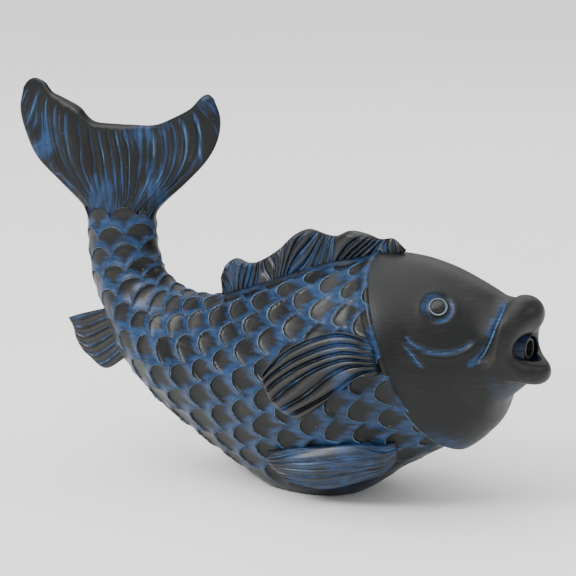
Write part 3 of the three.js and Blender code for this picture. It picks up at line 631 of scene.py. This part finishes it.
front = smoothstep(row_number, muzzle_row(2), muzzle_row(6))
in_mouth = smoothstep(row_number, muzzle_row(10), muzzle_row(13))
chin = (smoothstep(row_number, CHEEK_ROWS + 3, CHEEK_ROWS + 15)
        * (1 - smoothstep(row_number, CHEEK_ROWS + 18, CHEEK_ROWS + 28)) * below(rise, 0.15, 0.6))
low_cover = (1 - smoothstep(cover_length, 3, 26)) * below(rise, 0.2, 0.9)
blue = np.clip(blue + behind_jaw + ring + 0.38 * chin + 0.5 * in_mouth + 0.55 * low_cover, 0, 1.2)
pale = (0.65 * bell(smile, 0.7) * taper(smile_at) + 0.6 * bell(cheek_fold, 0.7) * taper(cheek_fold_at)
        + 0.8 * jaw_shape * bell(jaw, 0.8) * taper(jaw_at, 0.3))
pale = pale + 0.8 * bell(cover_length - 0.6, 0.9) + 0.3 * ring
wear_and_shade = 0.45 * jaw_shape * bell(jaw_fold, 2) * taper(jaw_fold_at, 0.3) + 0.1 * front * (1 - in_mouth)
head = make_piece("head", closed, marks=[np.concatenate([m[:1]] * 3 + [m]) for m in (blue, pale, wear_and_shade)])
finish_piece(head, "carp", "head_casting")

# %% [markdown]
# ## Patina
# The casting is painted near black, rubbed blue while the paint is tacky, and wiped again. Blue stays in
# the hollows, black and warm grey come back on the crests, and a dry brush leaves thin pale lines on
# sharp edges. One function builds that finish, and each piece tells it where its hollows and edges are.
# On the underside of the scales and on the fins' rims the warm grey is held back as painted shade.

# %% Noise and the patina itself
CHARCOAL, WARM = srgb(11, 13, 15), srgb(47, 46, 42)
DEEP_BLUE, BRIGHT_BLUE, PALE_BLUE = srgb(15, 31, 53), srgb(35, 65, 102), srgb(84, 110, 131)


def noise(at, scale, detail=3.0, stretch=None):
    """Soft noise from 0 to 1 with features about one over scale metres wide."""
    if stretch:
        at = at.out("ShaderNodeMapping", 0, {"vector_type": "POINT"}, Vector=at, Scale=stretch)
    return at.out("ShaderNodeTexNoise", 0, Vector=at, Scale=scale, Detail=detail)


def numbers(at, attribute):
    """The three numbers stored in a piece's attribute."""
    stored = at.out("ShaderNodeAttribute", "Vector", {"attribute_name": attribute})
    split = at.node("ShaderNodeSeparateXYZ", Vector=stored)
    return [Paint(at.tree, split.outputs[i]) for i in range(3)]


def lot(at, number):
    """A number from 0 to 1 drawn by lot, always the same one for the same number."""
    return at.out("ShaderNodeTexWhiteNoise", 0, {"noise_dimensions": "1D"}, W=number)


def patina(name, find_marks, stretch=(0.25, 1, 1.6), rough=(0.24, 0.46), shine=0.4, specks=0.74):
    """A cast and wiped finish. find_marks gives blue, pale, and wear amounts less any painted shade, and a
    height.
    """
    made, shader, at = new_material(name)
    blue, pale, wear_and_shade, height = find_marks(at)
    cloud = noise(at, 42, 4.0)
    brushed = noise(at, 260, 4.0, stretch)
    fine = noise(at, 900, 2.0)
    # warm grey where the paint is rubbed back, lowered where a piece paints shade
    rubbed_and_shaded = (wear_and_shade + (cloud - 0.55) * 0.9 + (brushed - 0.5) * 0.5).smooth(0.05, 0.75) * 0.75
    dark = rubbed_and_shaded.blend(CHARCOAL, WARM)
    tint = (brushed * 0.9 + fine * 0.3 + cloud * 0.3).smooth(0.45, 1.05).blend(DEEP_BLUE, BRIGHT_BLUE)
    amount = (blue + (cloud - 0.5) * 0.5 + (brushed - 0.5) * 0.6).smooth(0.22, 0.9)
    painted = (amount * 0.92).blend(dark, tint)
    line = (pale * (0.55 + brushed * 0.9) + (fine - 0.5) * 0.3).smooth(0.25, 0.95) * 0.7
    painted = line.blend(painted, PALE_BLUE)
    speck = noise(at, 520, 1.0).smooth(specks, specks + 0.06) * 0.5
    connect(speck.blend(painted, srgb(96, 88, 72)), shader.inputs["Base Color"])
    connect((fine * 0.5 + cloud * 0.5).mix(*rough), shader.inputs["Roughness"])
    shader.inputs["Specular IOR Level"].default_value = shine
    connect(bumps(height + brushed * 0.12 + fine * 0.08, 0.0012, 0.6), shader.inputs["Normal"])
    return made


print("patina colours:", CHARCOAL[:3], WARM[:3])


# %% Marks on the scales
def scale_marks(at):
    back, across, scaled = numbers(at, "lattice")
    # under is 1 beneath the fish: there the scales get painted shade, with less blue and their warm grey
    # wear held back
    low = numbers(at, "under")[0]
    column = back.apply("CEIL")
    half = column.apply("FLOORED_MODULO", 2.0) * 0.5
    own = (across - half + 0.5).apply("FRACT") - 0.5
    other = (across - half).apply("FRACT") - 0.5
    own_edge = column - (own.apply("ABSOLUTE") * 2) ** EDGE_POWER * EDGE_DEPTH
    next_edge = column + 1 - (other.apply("ABSOLUTE") * 2) ** EDGE_POWER * EDGE_DEPTH
    first = back < own_edge
    to_edge = first.mix(next_edge - back, own_edge - back)
    from_cover = first.mix(back - own_edge, back - next_edge + 2)
    row = (across - first.mix(0.5 - half, half) + 0.5).apply("FLOOR")
    chance = lot(at, first.mix(column + 1, column) * 3.7 + row * 11.3)
    recess = 1 - from_cover.smooth(0.0, 1.05)
    blue = scaled * (recess * (0.75 + chance * 0.45) + (1 - to_edge.smooth(0.0, 0.16)) * 0.2)
    blue = (blue + (1 - scaled) * 0.45) * (1 - low * 0.2)
    edge = 1 - from_cover.smooth(0.01, 0.07)
    pale = scaled * (edge * 0.75 + (1 - to_edge.smooth(0.0, 0.04)) * 0.25)
    crest = scaled * from_cover.smooth(0.3, 0.8) * to_edge.smooth(0.05, 0.35)
    # worn crests, less painted shade on the underside
    wear_and_shade = crest * (0.1 + chance * 0.4) - low * 0.5
    height = scaled * (to_edge.smooth(0.0, 0.06) - edge * 0.6)
    return blue, pale, wear_and_shade, height


trunk.data.materials.append(patina("scale_patina", scale_marks, rough=(0.26, 0.48), shine=0.3))
print("the scales' paint has", len(trunk.data.materials[0].node_tree.nodes), "nodes")


# %% Marks on the head
def head_marks(at):
    blue, pale, wear_and_shade = numbers(at, "marks")
    return blue, pale, wear_and_shade + 0.15, pale * -0.4


head.data.materials.append(patina("head_patina", head_marks, (0.2, 0.6, 3), rough=(0.34, 0.55), shine=0.3,
                                  specks=0.8))
print("the head's paint has", len(head.data.materials[0].node_tree.nodes), "nodes")

# %% [markdown]
# ## Fins
# On the cast figure each fin is a thick leaf with rounded edges and soft rays, not a thin sheet. A leaf
# lies between four edge curves. Its grid wraps once round it, up one face and down the other, so its
# edges are round and closed. The rays follow the leaf from root to tip, in the mesh and in the paint.

# %% A leaf between four edges
def leaf(root, tip, left, right, rows, columns, first_round):
    """Places u across and v along a leaf, its middle surface, the way round its edge, and the
    rounding of its tip, which starts at first_round."""
    angle = 2 * np.pi * np.arange(columns) / columns
    v = np.concatenate([[0, 1e-4], np.linspace(0.01, 1, rows - 2) ** 0.94])[:, None] + 0 * angle
    u = (0.5 - 0.5 * np.cos(angle)) + 0 * v
    curves = [np.array(curve, float) for curve in (root, tip, left, right)]
    low, high = [along(c, u * (len(c) - 1)) for c in curves[:2]]
    side_a, side_b = [along(c, v * (len(c) - 1)) for c in curves[2:]]
    u3, v3 = u[..., None], v[..., None]
    middle = low * (1 - v3) + high * v3 + side_a * (1 - u3) + side_b * u3
    middle -= (curves[0][0] * (1 - u3) + curves[0][-1] * u3) * (1 - v3)
    middle -= (curves[1][0] * (1 - u3) + curves[1][-1] * u3) * v3
    rounding = np.sqrt(np.clip(1 - (np.maximum(v - first_round, 0) / (1 - first_round)) ** 2, 0, 1))
    rounding[0] = 0
    return u, v, middle, np.sin(angle) + 0 * v, rounding


def even(curve):
    """The same curve through evenly spaced points."""
    fine = along(np.array(curve, float), np.linspace(0, len(curve) - 1, 400))
    length = np.concatenate([[0], np.cumsum(np.linalg.norm(np.diff(fine, axis=0), axis=1))])
    wanted = np.linspace(0, length[-1], 40)
    return np.stack([np.interp(wanted, length, fine[:, k]) for k in range(3)], -1)


def signed_power(value, power):
    return np.sign(value) * np.abs(value) ** power


def rays(place, depth, sharp=0.7):
    """Rounded rays with narrow hollows between them, one to each whole step of place."""
    return depth * (np.abs(np.sin(np.pi * place)) ** sharp - 0.5)


def upright(outline):
    """Points of the plane of symmetry, from x and z."""
    return [(x - MIDDLE_X, 0, z) for x, z in outline]


def fin_feet(shares, sunk, on_back=True):
    """A line of points below the skin of the back, or above the skin of the belly."""
    row = along(RIBS, SPANS * np.array(shares))
    rising = row[:, :2] - row[:, 2:4]
    rising /= np.linalg.norm(rising, axis=1, keepdims=True)
    return [(x, 0, z) for x, z in (row[:, :2] - sunk * rising if on_back else row[:, 2:4] + sunk * rising)]


def make_fin(name, node, middle, sideways, ray, edge):
    """A fin in the plane of symmetry, whose faces stand sideways from its middle surface."""
    points = middle.copy()
    points[..., 1] = sideways
    fin = make_piece(name, points, rays=(ray, edge))
    finish_piece(fin, "carp", node)
    return fin


print("fins can now be drawn from their edges")

# %% Tail fin
TAIL_RAYS = 19
TAIL_ROOT = upright([(-147, 144), (-124, 148), (-100, 152)])
TAIL_EDGE = upright([(-200.5, 235.5), (-197, 240), (-191.6, 242.7), (-184.8, 241.5), (-180.9, 238.8),
                     (-177.5, 234.8), (-166, 230.5), (-155, 226), (-148.5, 220), (-142, 217),
                     (-128.9, 216.7), (-113.7, 217), (-97, 218), (-83, 223.5), (-70.5, 230), (-63, 237),
                     (-57.5, 239.8), (-53, 237)])
TAIL_REAR = upright([(-147, 144), (-149.5, 156), (-154.5, 163), (-171, 175.5), (-190, 190.5),
                     (-199.5, 207), (-203.5, 222), (-200.5, 235.5)])
TAIL_FRONT = upright([(-100, 152), (-97.5, 161), (-91, 168.5), (-75, 182), (-59, 197.5), (-50.5, 211.5),
                      (-48.5, 225), (-53, 237)])
u, v, middle, round_way, rounding = leaf(TAIL_ROOT, even(TAIL_EDGE), even(TAIL_REAR), even(TAIL_FRONT),
                                         180, 400, first_round=0.95)
thin = np.exp(-3.2 * v)
half = (11.8 * thin + 2.5 * (1 - thin)) * rounding
bend = 0.5 + (u - 0.5) * (1 - 0.25 * np.sin(np.pi * v) * (2 * u - 1) ** 2)
ray = TAIL_RAYS * (bend + 0.02 * np.sin(7 * u + 3 * v) + 0.012 * np.sin(19 * u + 4 * v))
fold = 1.2 * np.sin(2 * np.pi * (1.8 * u + 0.15)) * smoothstep(v, 0.2, 0.9)
body = round_way * thin + signed_power(round_way, 0.5) * (1 - thin)
edge = smoothstep(np.abs(round_way), 0.1, 0.5) * (1 - smoothstep(v, 0.9, 0.99))
strength = smoothstep(v, 0.08, 0.3) * edge * (0.6 + 0.4 * np.sin(5.1 * np.round(ray)))
broad = 0.5 * np.sin(2 * np.pi * (3.7 * u + 0.25 * v)) * smoothstep(v, 0.2, 0.7) * edge
sideways = (body * half + fold * rounding
            + np.sign(round_way) * (rays(ray, 0.65, 0.55) * strength + broad) * rounding)
tail = make_fin("tail_fin_fan", "tail_fin", middle, sideways, ray, edge)

# %% Back fin
feet = fin_feet(np.linspace(0.585, 0.262, 12), sunk=5)
CREST_LINE = upright([(-49, 125), (-45, 133), (-37, 138), (-27, 136), (-18, 139), (-6, 147), (6, 157.5),
                      (16, 161.5), (26, 159), (34, 158.8), (44, 163), (56, 162), (64, 159.5),
                      (73, 160.5), (82, 154.5)])
u, v, middle, round_way, rounding = leaf(
    feet, CREST_LINE, [feet[0], CREST_LINE[0]], [feet[-1], CREST_LINE[-1]], 90, 560, first_round=0.86)
from_end = np.minimum(u, 1 - u)
half = (4.4 - 1.3 * v) * np.minimum(1, 0.45 + 3 * from_end) * rounding
sway = 2 * np.pi * (3.3 * u + 0.12)
ray = 26 * u + 2.2 * np.sin(sway) * (v - 0.5) + 0.4 * np.sin(31 * u)
edge = smoothstep(np.abs(round_way), 0.05, 0.25) * (1 - smoothstep(v, 0.9, 1))
sideways = (signed_power(round_way, 0.45) * half
            + 3.6 * np.sin(sway + 1.1) * v * rounding * np.minimum(1, 8 * from_end)
            + np.sign(round_way) * rays(ray, 1.3) * edge * rounding)
back_fin = make_fin("back_fin", "dorsal_fin", middle, sideways, ray, edge)

# %% Fin under the tail
feet = fin_feet([0.74, 0.78, 0.82], sunk=4, on_back=False)
TIP = upright([(-150, 61), (-157, 65), (-162, 72), (-164, 79), (-168, 85)])
BELOW, ABOVE = upright([(-138, 54), (-157, 89)])
u, v, middle, round_way, rounding = leaf(
    feet, TIP, [feet[0], BELOW, TIP[0]], [feet[-1], ABOVE, TIP[-1]], 70, 160, first_round=0.88)
ray = 6 * u + 0.3 * np.sin(3 * v)
edge = smoothstep(np.abs(round_way), 0.1, 0.4) * (1 - smoothstep(v, 0.9, 1))
sideways = (signed_power(round_way, 0.5) * (2.8 - 0.9 * v) * rounding
            + np.sign(round_way) * rays(ray, 0.8) * edge * rounding)
under_fin = make_fin("under_tail_fin", "anal_fin", middle, sideways, ray, edge)


# %% Fins that lie along the flanks
FLANK_SUNK = 3.5  # how far a root lies under the skin


def flank_fin(name, node, edges, hand, count, lift, thickness, depth, sweep, buried, moulded=0.0):
    """A leaf drawn on the skin. edges are the root, tip, high and low curves, as (share, degrees up).

    buried thickens the leaf's inner face, and moulded sinks its long edges into the skin."""
    u, v, on, round_way, rounding = leaf(*[[(s, r, 0) for s, r in edge] for edge in edges], 110, 300,
                                         first_round=0.9)
    rib_at, angle = SPANS * on[..., 0], np.radians(on[..., 1])
    if hand < 0:
        angle = np.pi - angle
    step = 0.02
    base = skin(rib_at, angle)
    out = np.cross(skin(rib_at + step, angle) - skin(rib_at - step, angle),
                   skin(rib_at, angle + step) - skin(rib_at, angle - step))
    out /= np.linalg.norm(out, axis=-1, keepdims=True)
    leave = smoothstep(v, -0.06, 0.2)
    half = thickness * (1 - 0.4 * v) * rounding * smoothstep(v, -0.02, 0.1)
    ray = count * u + sweep * np.sin(np.pi * v) * (0.5 - u) + 0.15 * np.sin(5 * v + 9 * u)
    edge = smoothstep(np.abs(round_way), 0.08, 0.35) * (1 - smoothstep(v, 0.93, 1))
    outside = np.sign(round_way) > 0
    height = -FLANK_SUNK * (1 - leave) + lift(v) * leave + thickness + 0.9 * np.sin(np.pi * u) * leave
    height = height + signed_power(round_way, 0.5) * half * np.where(outside, 1, buried)
    height = height - moulded * (1 - smoothstep(np.minimum(u, 1 - u), 0, 0.16))
    furrows = rays(ray, depth, 0.8) * edge * leave * rounding
    height = height + np.where(outside, 1, 0.3) * np.sign(round_way) * furrows
    points = base + out * height[..., None]
    rest_on_ground(points)
    piece = make_piece(name, points, rays=(ray, edge))
    finish_piece(piece, "carp", node)
    return piece


CHEST_FIN = [
    [(0.235, 22), (0.226, 12), (0.214, 3)],
    [(0.387, 13), (0.387, 9), (0.379, 5), (0.37, 0), (0.35, -5), (0.325, -9)],
    [(0.235, 22), (0.287, 27), (0.343, 24), (0.375, 18), (0.387, 13)],
    [(0.214, 3), (0.25, 3), (0.287, -3), (0.325, -9)],
]
BELLY_FIN = [
    [(0.207, -45), (0.214, -53), (0.224, -61)],
    [(0.402, -27), (0.39, -35), (0.36, -45)],
    [(0.207, -45), (0.27, -32), (0.34, -25), (0.402, -27)],
    [(0.224, -61), (0.27, -60), (0.32, -55), (0.36, -45)],
]
flank_fins = []
for hand, name in ((1, "left"), (-1, "right")):
    flank_fins.append(flank_fin("chest_fin_" + name, "pectoral_fin_" + name, CHEST_FIN, hand, 7,
                                lambda v: 1.5 + 3.5 * v, 2.9, 2.6, 1.2, buried=1.6))
    flank_fins.append(flank_fin("belly_fin_" + name, "pelvic_fin_" + name, BELLY_FIN, hand, 8,
                                lambda v: 0.3 + 1.2 * v, 2.3, 1.1, 2.0, buried=3.0, moulded=3.2))


# %% Marks on the fins
def ray_marks(blueness, lines, wear):
    """Blue between the rays, pale threads along them, worn crests, and painted shade on the leaf's rims.
    """
    def find(at):
        ray, edge, _ = numbers(at, "rays")
        nearest = ray.apply("ROUND")
        away = (ray - nearest).apply("ABSOLUTE")
        chance = lot(at, nearest * 7.3)
        hollow = 1 - away.smooth(0.02, 0.24)
        broken = noise(at, 70, 2.0).smooth(0.35, 0.6)
        smoke = noise(at, 28, 3.0).smooth(0.4, 0.65)
        strand = ray * 2.3 + noise(at, 60, 1.0) * 1.6
        thread = 1 - strand.apply("PINGPONG", 0.5).smooth(0.02, 0.16)
        blue = edge * hollow * blueness + chance * 0.35 + smoke * 0.65 + thread * 0.3 - 0.2
        line = (1 - away.smooth(0.01, 0.09)) * (0.2 + chance * lines) + thread * lines * 0.5
        pale = edge * line * (0.2 + broken * 0.8)
        # painted shade: the leaf's rims are held to charcoal, against the highlight the lights lay on them
        wear_and_shade = edge * away.smooth(0.2, 0.5) * wear - (1 - edge) * 0.5
        return blue, pale, wear_and_shade, hollow * edge * -0.5
    return find


fan_paint = patina("fan_patina", ray_marks(0.6, 0.7, 0.2), stretch=(1, 1, 0.2), rough=(0.34, 0.54),
                   shine=0.25)
fin_paint = patina("fin_patina", ray_marks(0.6, 0.6, 0.55), stretch=(1, 1, 0.4))
flank_paint = patina("flank_fin_patina", ray_marks(0.35, 0.6, 0.7), stretch=(0.3, 1, 1))
for piece, paint in ((tail, fan_paint), (back_fin, fin_paint), (under_fin, fin_paint),
                     *[(piece, flank_paint) for piece in flank_fins]):
    piece.data.materials.append(paint)
print("painted", 3 + len(flank_fins), "fins")

# %% [markdown]
# ## Eyes
# Each eye is a boss with a raised rim, a moat and a flat pupil. It is turned work, so it starts as a
# cylinder at its place on the cheek. Its outer face is then inset and extruded, as it would be by hand.

# %% Helpers for work in edit mode
def add_round(name, radius, depth, middle, way, sides=48):
    """A cylinder, in millimetres, about an axis that points along way."""
    bpy.ops.object.select_all(action="DESELECT")
    turn = Vector(way).to_track_quat("Z", "Y").to_euler()
    bpy.ops.mesh.primitive_cylinder_add(vertices=sides, radius=radius * MM, depth=depth * MM,
                                        location=[c * MM for c in middle], rotation=turn)
    piece = bpy.context.object
    piece.name = piece.data.name = name
    bpy.ops.object.transform_apply(location=True, rotation=True, scale=True)
    return piece


def pick_face(piece, way):
    """Opens the piece and selects its furthest flat face that looks along way."""
    way = Vector(way).normalized()
    bpy.ops.object.mode_set(mode="OBJECT")
    for item in (*piece.data.vertices, *piece.data.edges, *piece.data.polygons):
        item.select = False
    ends = [f for f in piece.data.polygons if f.normal.dot(way) > 0.99]
    ends.sort(key=lambda f: (round(f.center.dot(way), 6), len(f.vertices)))
    ends[-1].select = True
    bpy.ops.object.mode_set(mode="EDIT")
    bpy.ops.mesh.select_mode(type="FACE")


def inset(width):
    bpy.ops.mesh.inset(thickness=width * MM, use_even_offset=True)


def extrude(way, distance):
    move = Vector(way).normalized() * distance * MM
    bpy.ops.mesh.extrude_region_move(TRANSFORM_OT_translate={"value": move})


def step_face(piece, way, *steps):
    """Insets and extrudes an end face, once for each pair of a width and a distance."""
    pick_face(piece, way)
    for width, distance in steps:
        inset(width)
        extrude(way, distance)


def resize(value, centre):
    bpy.ops.transform.resize(value=value, center_override=centre)


def soften(piece, width, segments=3):
    """Rounds the sharp edges, and leaves smooth shading behind."""
    bpy.ops.object.mode_set(mode="OBJECT")
    bpy.ops.object.select_all(action="DESELECT")
    piece.select_set(True)
    bpy.context.view_layer.objects.active = piece
    rounded = piece.modifiers.new("rounded edges", "BEVEL")
    rounded.width, rounded.segments = width * MM, segments
    rounded.limit_method, rounded.angle_limit = "ANGLE", math.radians(30)
    bpy.ops.object.modifier_apply(modifier=rounded.name)
    bpy.ops.object.mode_set(mode="EDIT")
    bpy.ops.mesh.select_all(action="SELECT")
    bpy.ops.mesh.remove_doubles(threshold=2e-6)
    bpy.ops.mesh.dissolve_degenerate(threshold=2e-6)
    bpy.ops.object.mode_set(mode="OBJECT")
    bpy.ops.object.shade_smooth_by_angle(angle=math.radians(35))


print("cylinders can now be turned, inset and extruded")

# %% Both eyes
EYE_SHARE, EYE_RISE = 0.133, math.radians(44)
RIM_INSIDE, RIM_OUTSIDE = 4.4, 5.45  # from the eye's middle
eyes = []
for hand, name in ((1, "left"), (-1, "right")):
    angle = EYE_RISE if hand > 0 else math.pi - EYE_RISE
    spot = [skin(np.array(SPANS * EYE_SHARE + a), np.array(angle + b)) for a, b in
            ((0, 0), (0.02, 0), (-0.02, 0), (0, 0.02), (0, -0.02))]
    way = Vector(np.cross(spot[1] - spot[2], spot[3] - spot[4])).normalized()
    eye = add_round("eye_" + name, 5.5, 5.0, Vector(spot[0]) - way * 1.4, way)
    step_face(eye, way, (0.9, -0.7), (0.9, 0.9), (0.5, 0.25))
    soften(eye, 0.3)
    for face in eye.data.polygons:
        out = face.center / MM - Vector(spot[0])
        off_axis = (out - way * out.dot(way)).length
        on_rim = RIM_INSIDE < off_axis < RIM_OUTSIDE and face.normal.dot(way) > 0.4
        face.material_index = 1 if on_rim else 0
    finish_piece(eye, "carp", "eye_" + name)
    eyes.append(eye)

# %% [markdown]
# ## Spout and hose fittings
# A short bronze pipe carries the water out between the lips, held in a rubber grommet. On the left
# flank a plastic bulkhead fitting takes the pump's hose: flange, union nut and a barbed elbow that
# swivels. These are ordinary plumbing parts, so they are crisp where the casting is soft.

# %% Spout pipe and grommet
FORWARD, BACKWARDS = Vector((1, 0, 0)), Vector((-1, 0, 0))
pipe = add_round("spout_tube", 6.5, 60, (111, 0, MOUTH_Z), FORWARD)
for way in (FORWARD, BACKWARDS):
    step_face(pipe, way, (1.5, -29))
soften(pipe, 0.4)
finish_piece(pipe, "carp", "spout_pipe")

grommet = add_round("rubber_grommet", 11.8, 2.2, (126.2, 0, MOUTH_Z), FORWARD)
step_face(grommet, FORWARD, (1.6, -0.5), (1.2, 0.6))
step_face(grommet, BACKWARDS, (3.0, 6.2))
extrude(BACKWARDS, 0.3)
resize((1, 1.34, 1.34), (0, 0, MOUTH_Z * MM))
extrude(BACKWARDS, 1.7)
soften(grommet, 0.5)
finish_piece(grommet, "carp", "spout_grommet")

# %% Bulkhead flange, thread and gasket
INLET = Vector((-42, 0, 56))
SIDEWAYS = Vector((0, 1, 0))
THREAD_ROOT = 0.93  # of the thread's crest


def on_inlet(distance):
    return INLET + SIDEWAYS * distance


gasket = add_round("flank_gasket", 15, 2, on_inlet(49.3), SIDEWAYS)
step_face(gasket, SIDEWAYS, (1.2, -0.3))
soften(gasket, 0.5)
finish_piece(gasket, "carp", "inlet_gasket")

bulkhead = add_round("bulkhead_fitting", 15, 4, on_inlet(52.3), SIDEWAYS, sides=60)
step_face(bulkhead, SIDEWAYS, (1.6, -0.5), (2.9, 1.5))
for _ in range(6):
    extrude(SIDEWAYS, 0.6)
    resize((THREAD_ROOT, 1, THREAD_ROOT), INLET * MM)
    extrude(SIDEWAYS, 0.5)
    extrude(SIDEWAYS, 0.6)
    resize((1 / THREAD_ROOT, 1, 1 / THREAD_ROOT), INLET * MM)
inset(5.2)
extrude(SIDEWAYS, -20)
step_face(bulkhead, -SIDEWAYS, (4.8, 22))
soften(bulkhead, 0.3, 2)
finish_piece(bulkhead, "carp", "inlet_bulkhead")

# %% Union nut
NUT_FROM, NUT_TO = 55.6, 75.5
nut = add_round("hexagon_nut", 15.59, NUT_TO - NUT_FROM, on_inlet((NUT_FROM + NUT_TO) / 2), SIDEWAYS,
                sides=6)
for way in (SIDEWAYS, -SIDEWAYS):
    pick_face(nut, way)
    bpy.ops.mesh.bevel(offset=1.4 * MM, segments=2)
step_face(nut, SIDEWAYS, (1.2, -1.0), (3.4, -2.2))
soften(nut, 0.5)
finish_piece(nut, "union_nut", "union_nut")

# %% Barbed elbow
ELBOW_START, ELBOW_END, BEND = 72.2, 76.63, 13.0
FLANGE, NECK, BARB_ROOT, BARB_TIP = 9.5, 7.5, 6.5, 7.5  # radii
elbow = add_round("barbed_elbow", FLANGE, 3, on_inlet(70.7), SIDEWAYS)
step_face(elbow, SIDEWAYS, (FLANGE - NECK, ELBOW_END - ELBOW_START))
pivot = (INLET + Vector((-BEND, ELBOW_END, 0))) * MM
bpy.ops.mesh.spin(steps=10, angle=math.radians(-90), center=pivot, axis=(0, 0, 1))
extrude(BACKWARDS, 3)
tail_centre = Vector((-58, 89.63, 56)) * MM


def resize_end(scale):
    resize((1, scale, scale), tail_centre)


resize_end(BARB_ROOT / NECK)
for _ in range(4):
    extrude(BACKWARDS, 1.4)
    extrude(BACKWARDS, 0.35)
    resize_end(BARB_TIP / BARB_ROOT)
    extrude(BACKWARDS, 0.5)
    extrude(BACKWARDS, 3.75)
    resize_end(BARB_ROOT / BARB_TIP)
inset(2.0)
extrude(-BACKWARDS, 20)
soften(elbow, 0.25, 2)
finish_piece(elbow, "hose_elbow", "hose_elbow")

# %% Drain bung
DOWN = Vector((0, 0, -1))
BUNG_X = 15
bung = add_round("drain_bung", 9, 2, (BUNG_X, 0, 1.8), DOWN)
step_face(bung, -DOWN, (2.2, 2.6))
resize((1.03, 1.03, 1), (BUNG_X * MM, 0, 0))
extrude(-DOWN, 2.0)
resize((0.92, 0.92, 1), (BUNG_X * MM, 0, 0))
extrude(-DOWN, 1.6)
step_face(bung, DOWN, (2.0, -0.6), (3.4, 0.5))
soften(bung, 0.35)
finish_piece(bung, "belly_bung", "belly_bung")

# %% [markdown]
# ## Plastic, rubber and metal
# Small fittings need quiet finishes: moulded plastic has a fine grain and a satin shine, rubber is
# duller and dusty, and the bronze pipe is streaked brown. The pieces that stay as engineering solids,
# inside the casting, get the same finishes.

# %% Finishes for the fittings
def plain_finish(name, dark, light, rough, metal=0.0, scale=300, stretch=None, grain=0.1):
    """A quiet mottled finish, between two colours and between two roughnesses."""
    made, shader, at = new_material(name)
    cloud = noise(at, scale / 6, 3.0, stretch)
    fine = noise(at, scale * 4, 2.0, stretch)
    connect((cloud * 0.7 + fine * 0.3).smooth(0.25, 0.75).blend(dark, light), shader.inputs["Base Color"])
    connect((cloud * 0.5 + fine * 0.5).mix(*rough), shader.inputs["Roughness"])
    shader.inputs["Metallic"].default_value = metal
    connect(bumps(fine, 0.001, grain), shader.inputs["Normal"])
    return made


FINISHES = {
    "eye_gloss": plain_finish("eye_gloss", srgb(8, 9, 11), srgb(20, 21, 23), (0.16, 0.32), grain=0.02),
    "eye_rim": plain_finish("eye_rim", srgb(50, 66, 84), srgb(104, 120, 132), (0.3, 0.45), grain=0.05),
    "bronze_pipe": plain_finish("bronze_pipe", srgb(24, 25, 25), srgb(60, 55, 46), (0.4, 0.6), 0.6,
                                stretch=(0.2, 1, 1)),
    "black_rubber": plain_finish("black_rubber", srgb(24, 24, 25), srgb(46, 46, 47), (0.6, 0.85),
                                 grain=0.25),
    "clear_vinyl": plain_finish("clear_vinyl", srgb(168, 176, 174), srgb(200, 206, 204), (0.2, 0.35)),
    "steel": plain_finish("steel", srgb(150, 152, 154), srgb(190, 192, 194), (0.2, 0.4), 1.0,
                          stretch=(1, 1, 8)),
    "black_plastic": plain_finish("black_plastic", srgb(26, 27, 29), srgb(44, 45, 47), (0.32, 0.48),
                                  scale=500),
}
FITTINGS = {"eye_gloss": eyes, "bronze_pipe": [pipe], "black_rubber": [grommet, gasket, bung],
            "black_plastic": [bulkhead, nut, elbow]}
for slot, pieces in FITTINGS.items():
    for piece in pieces:
        piece.data.materials.append(FINISHES[slot])
for eye in eyes:
    eye.data.materials.append(FINISHES["eye_rim"])
HIDDEN = {"hose_clip_front": "steel", "hose_clip_rear": "steel", "tail_rod": "steel",
          "inner_hose": "clear_vinyl", "inlet_back_nut": "black_plastic", "union_washer": "black_rubber"}
for node, slot in HIDDEN.items():
    solid = bpy.data.objects[node]
    if not solid.material_slots:
        solid.data.materials.append(FINISHES[slot])
    for held in solid.material_slots:
        held.material = FINISHES[slot]
print("finished", len(HIDDEN), "inner solids")

# %% [markdown]
# ## Sizes
# The finished figure must stay the size of the engineering model.

# %% Bring the scene up to date
bpy.context.view_layer.update()
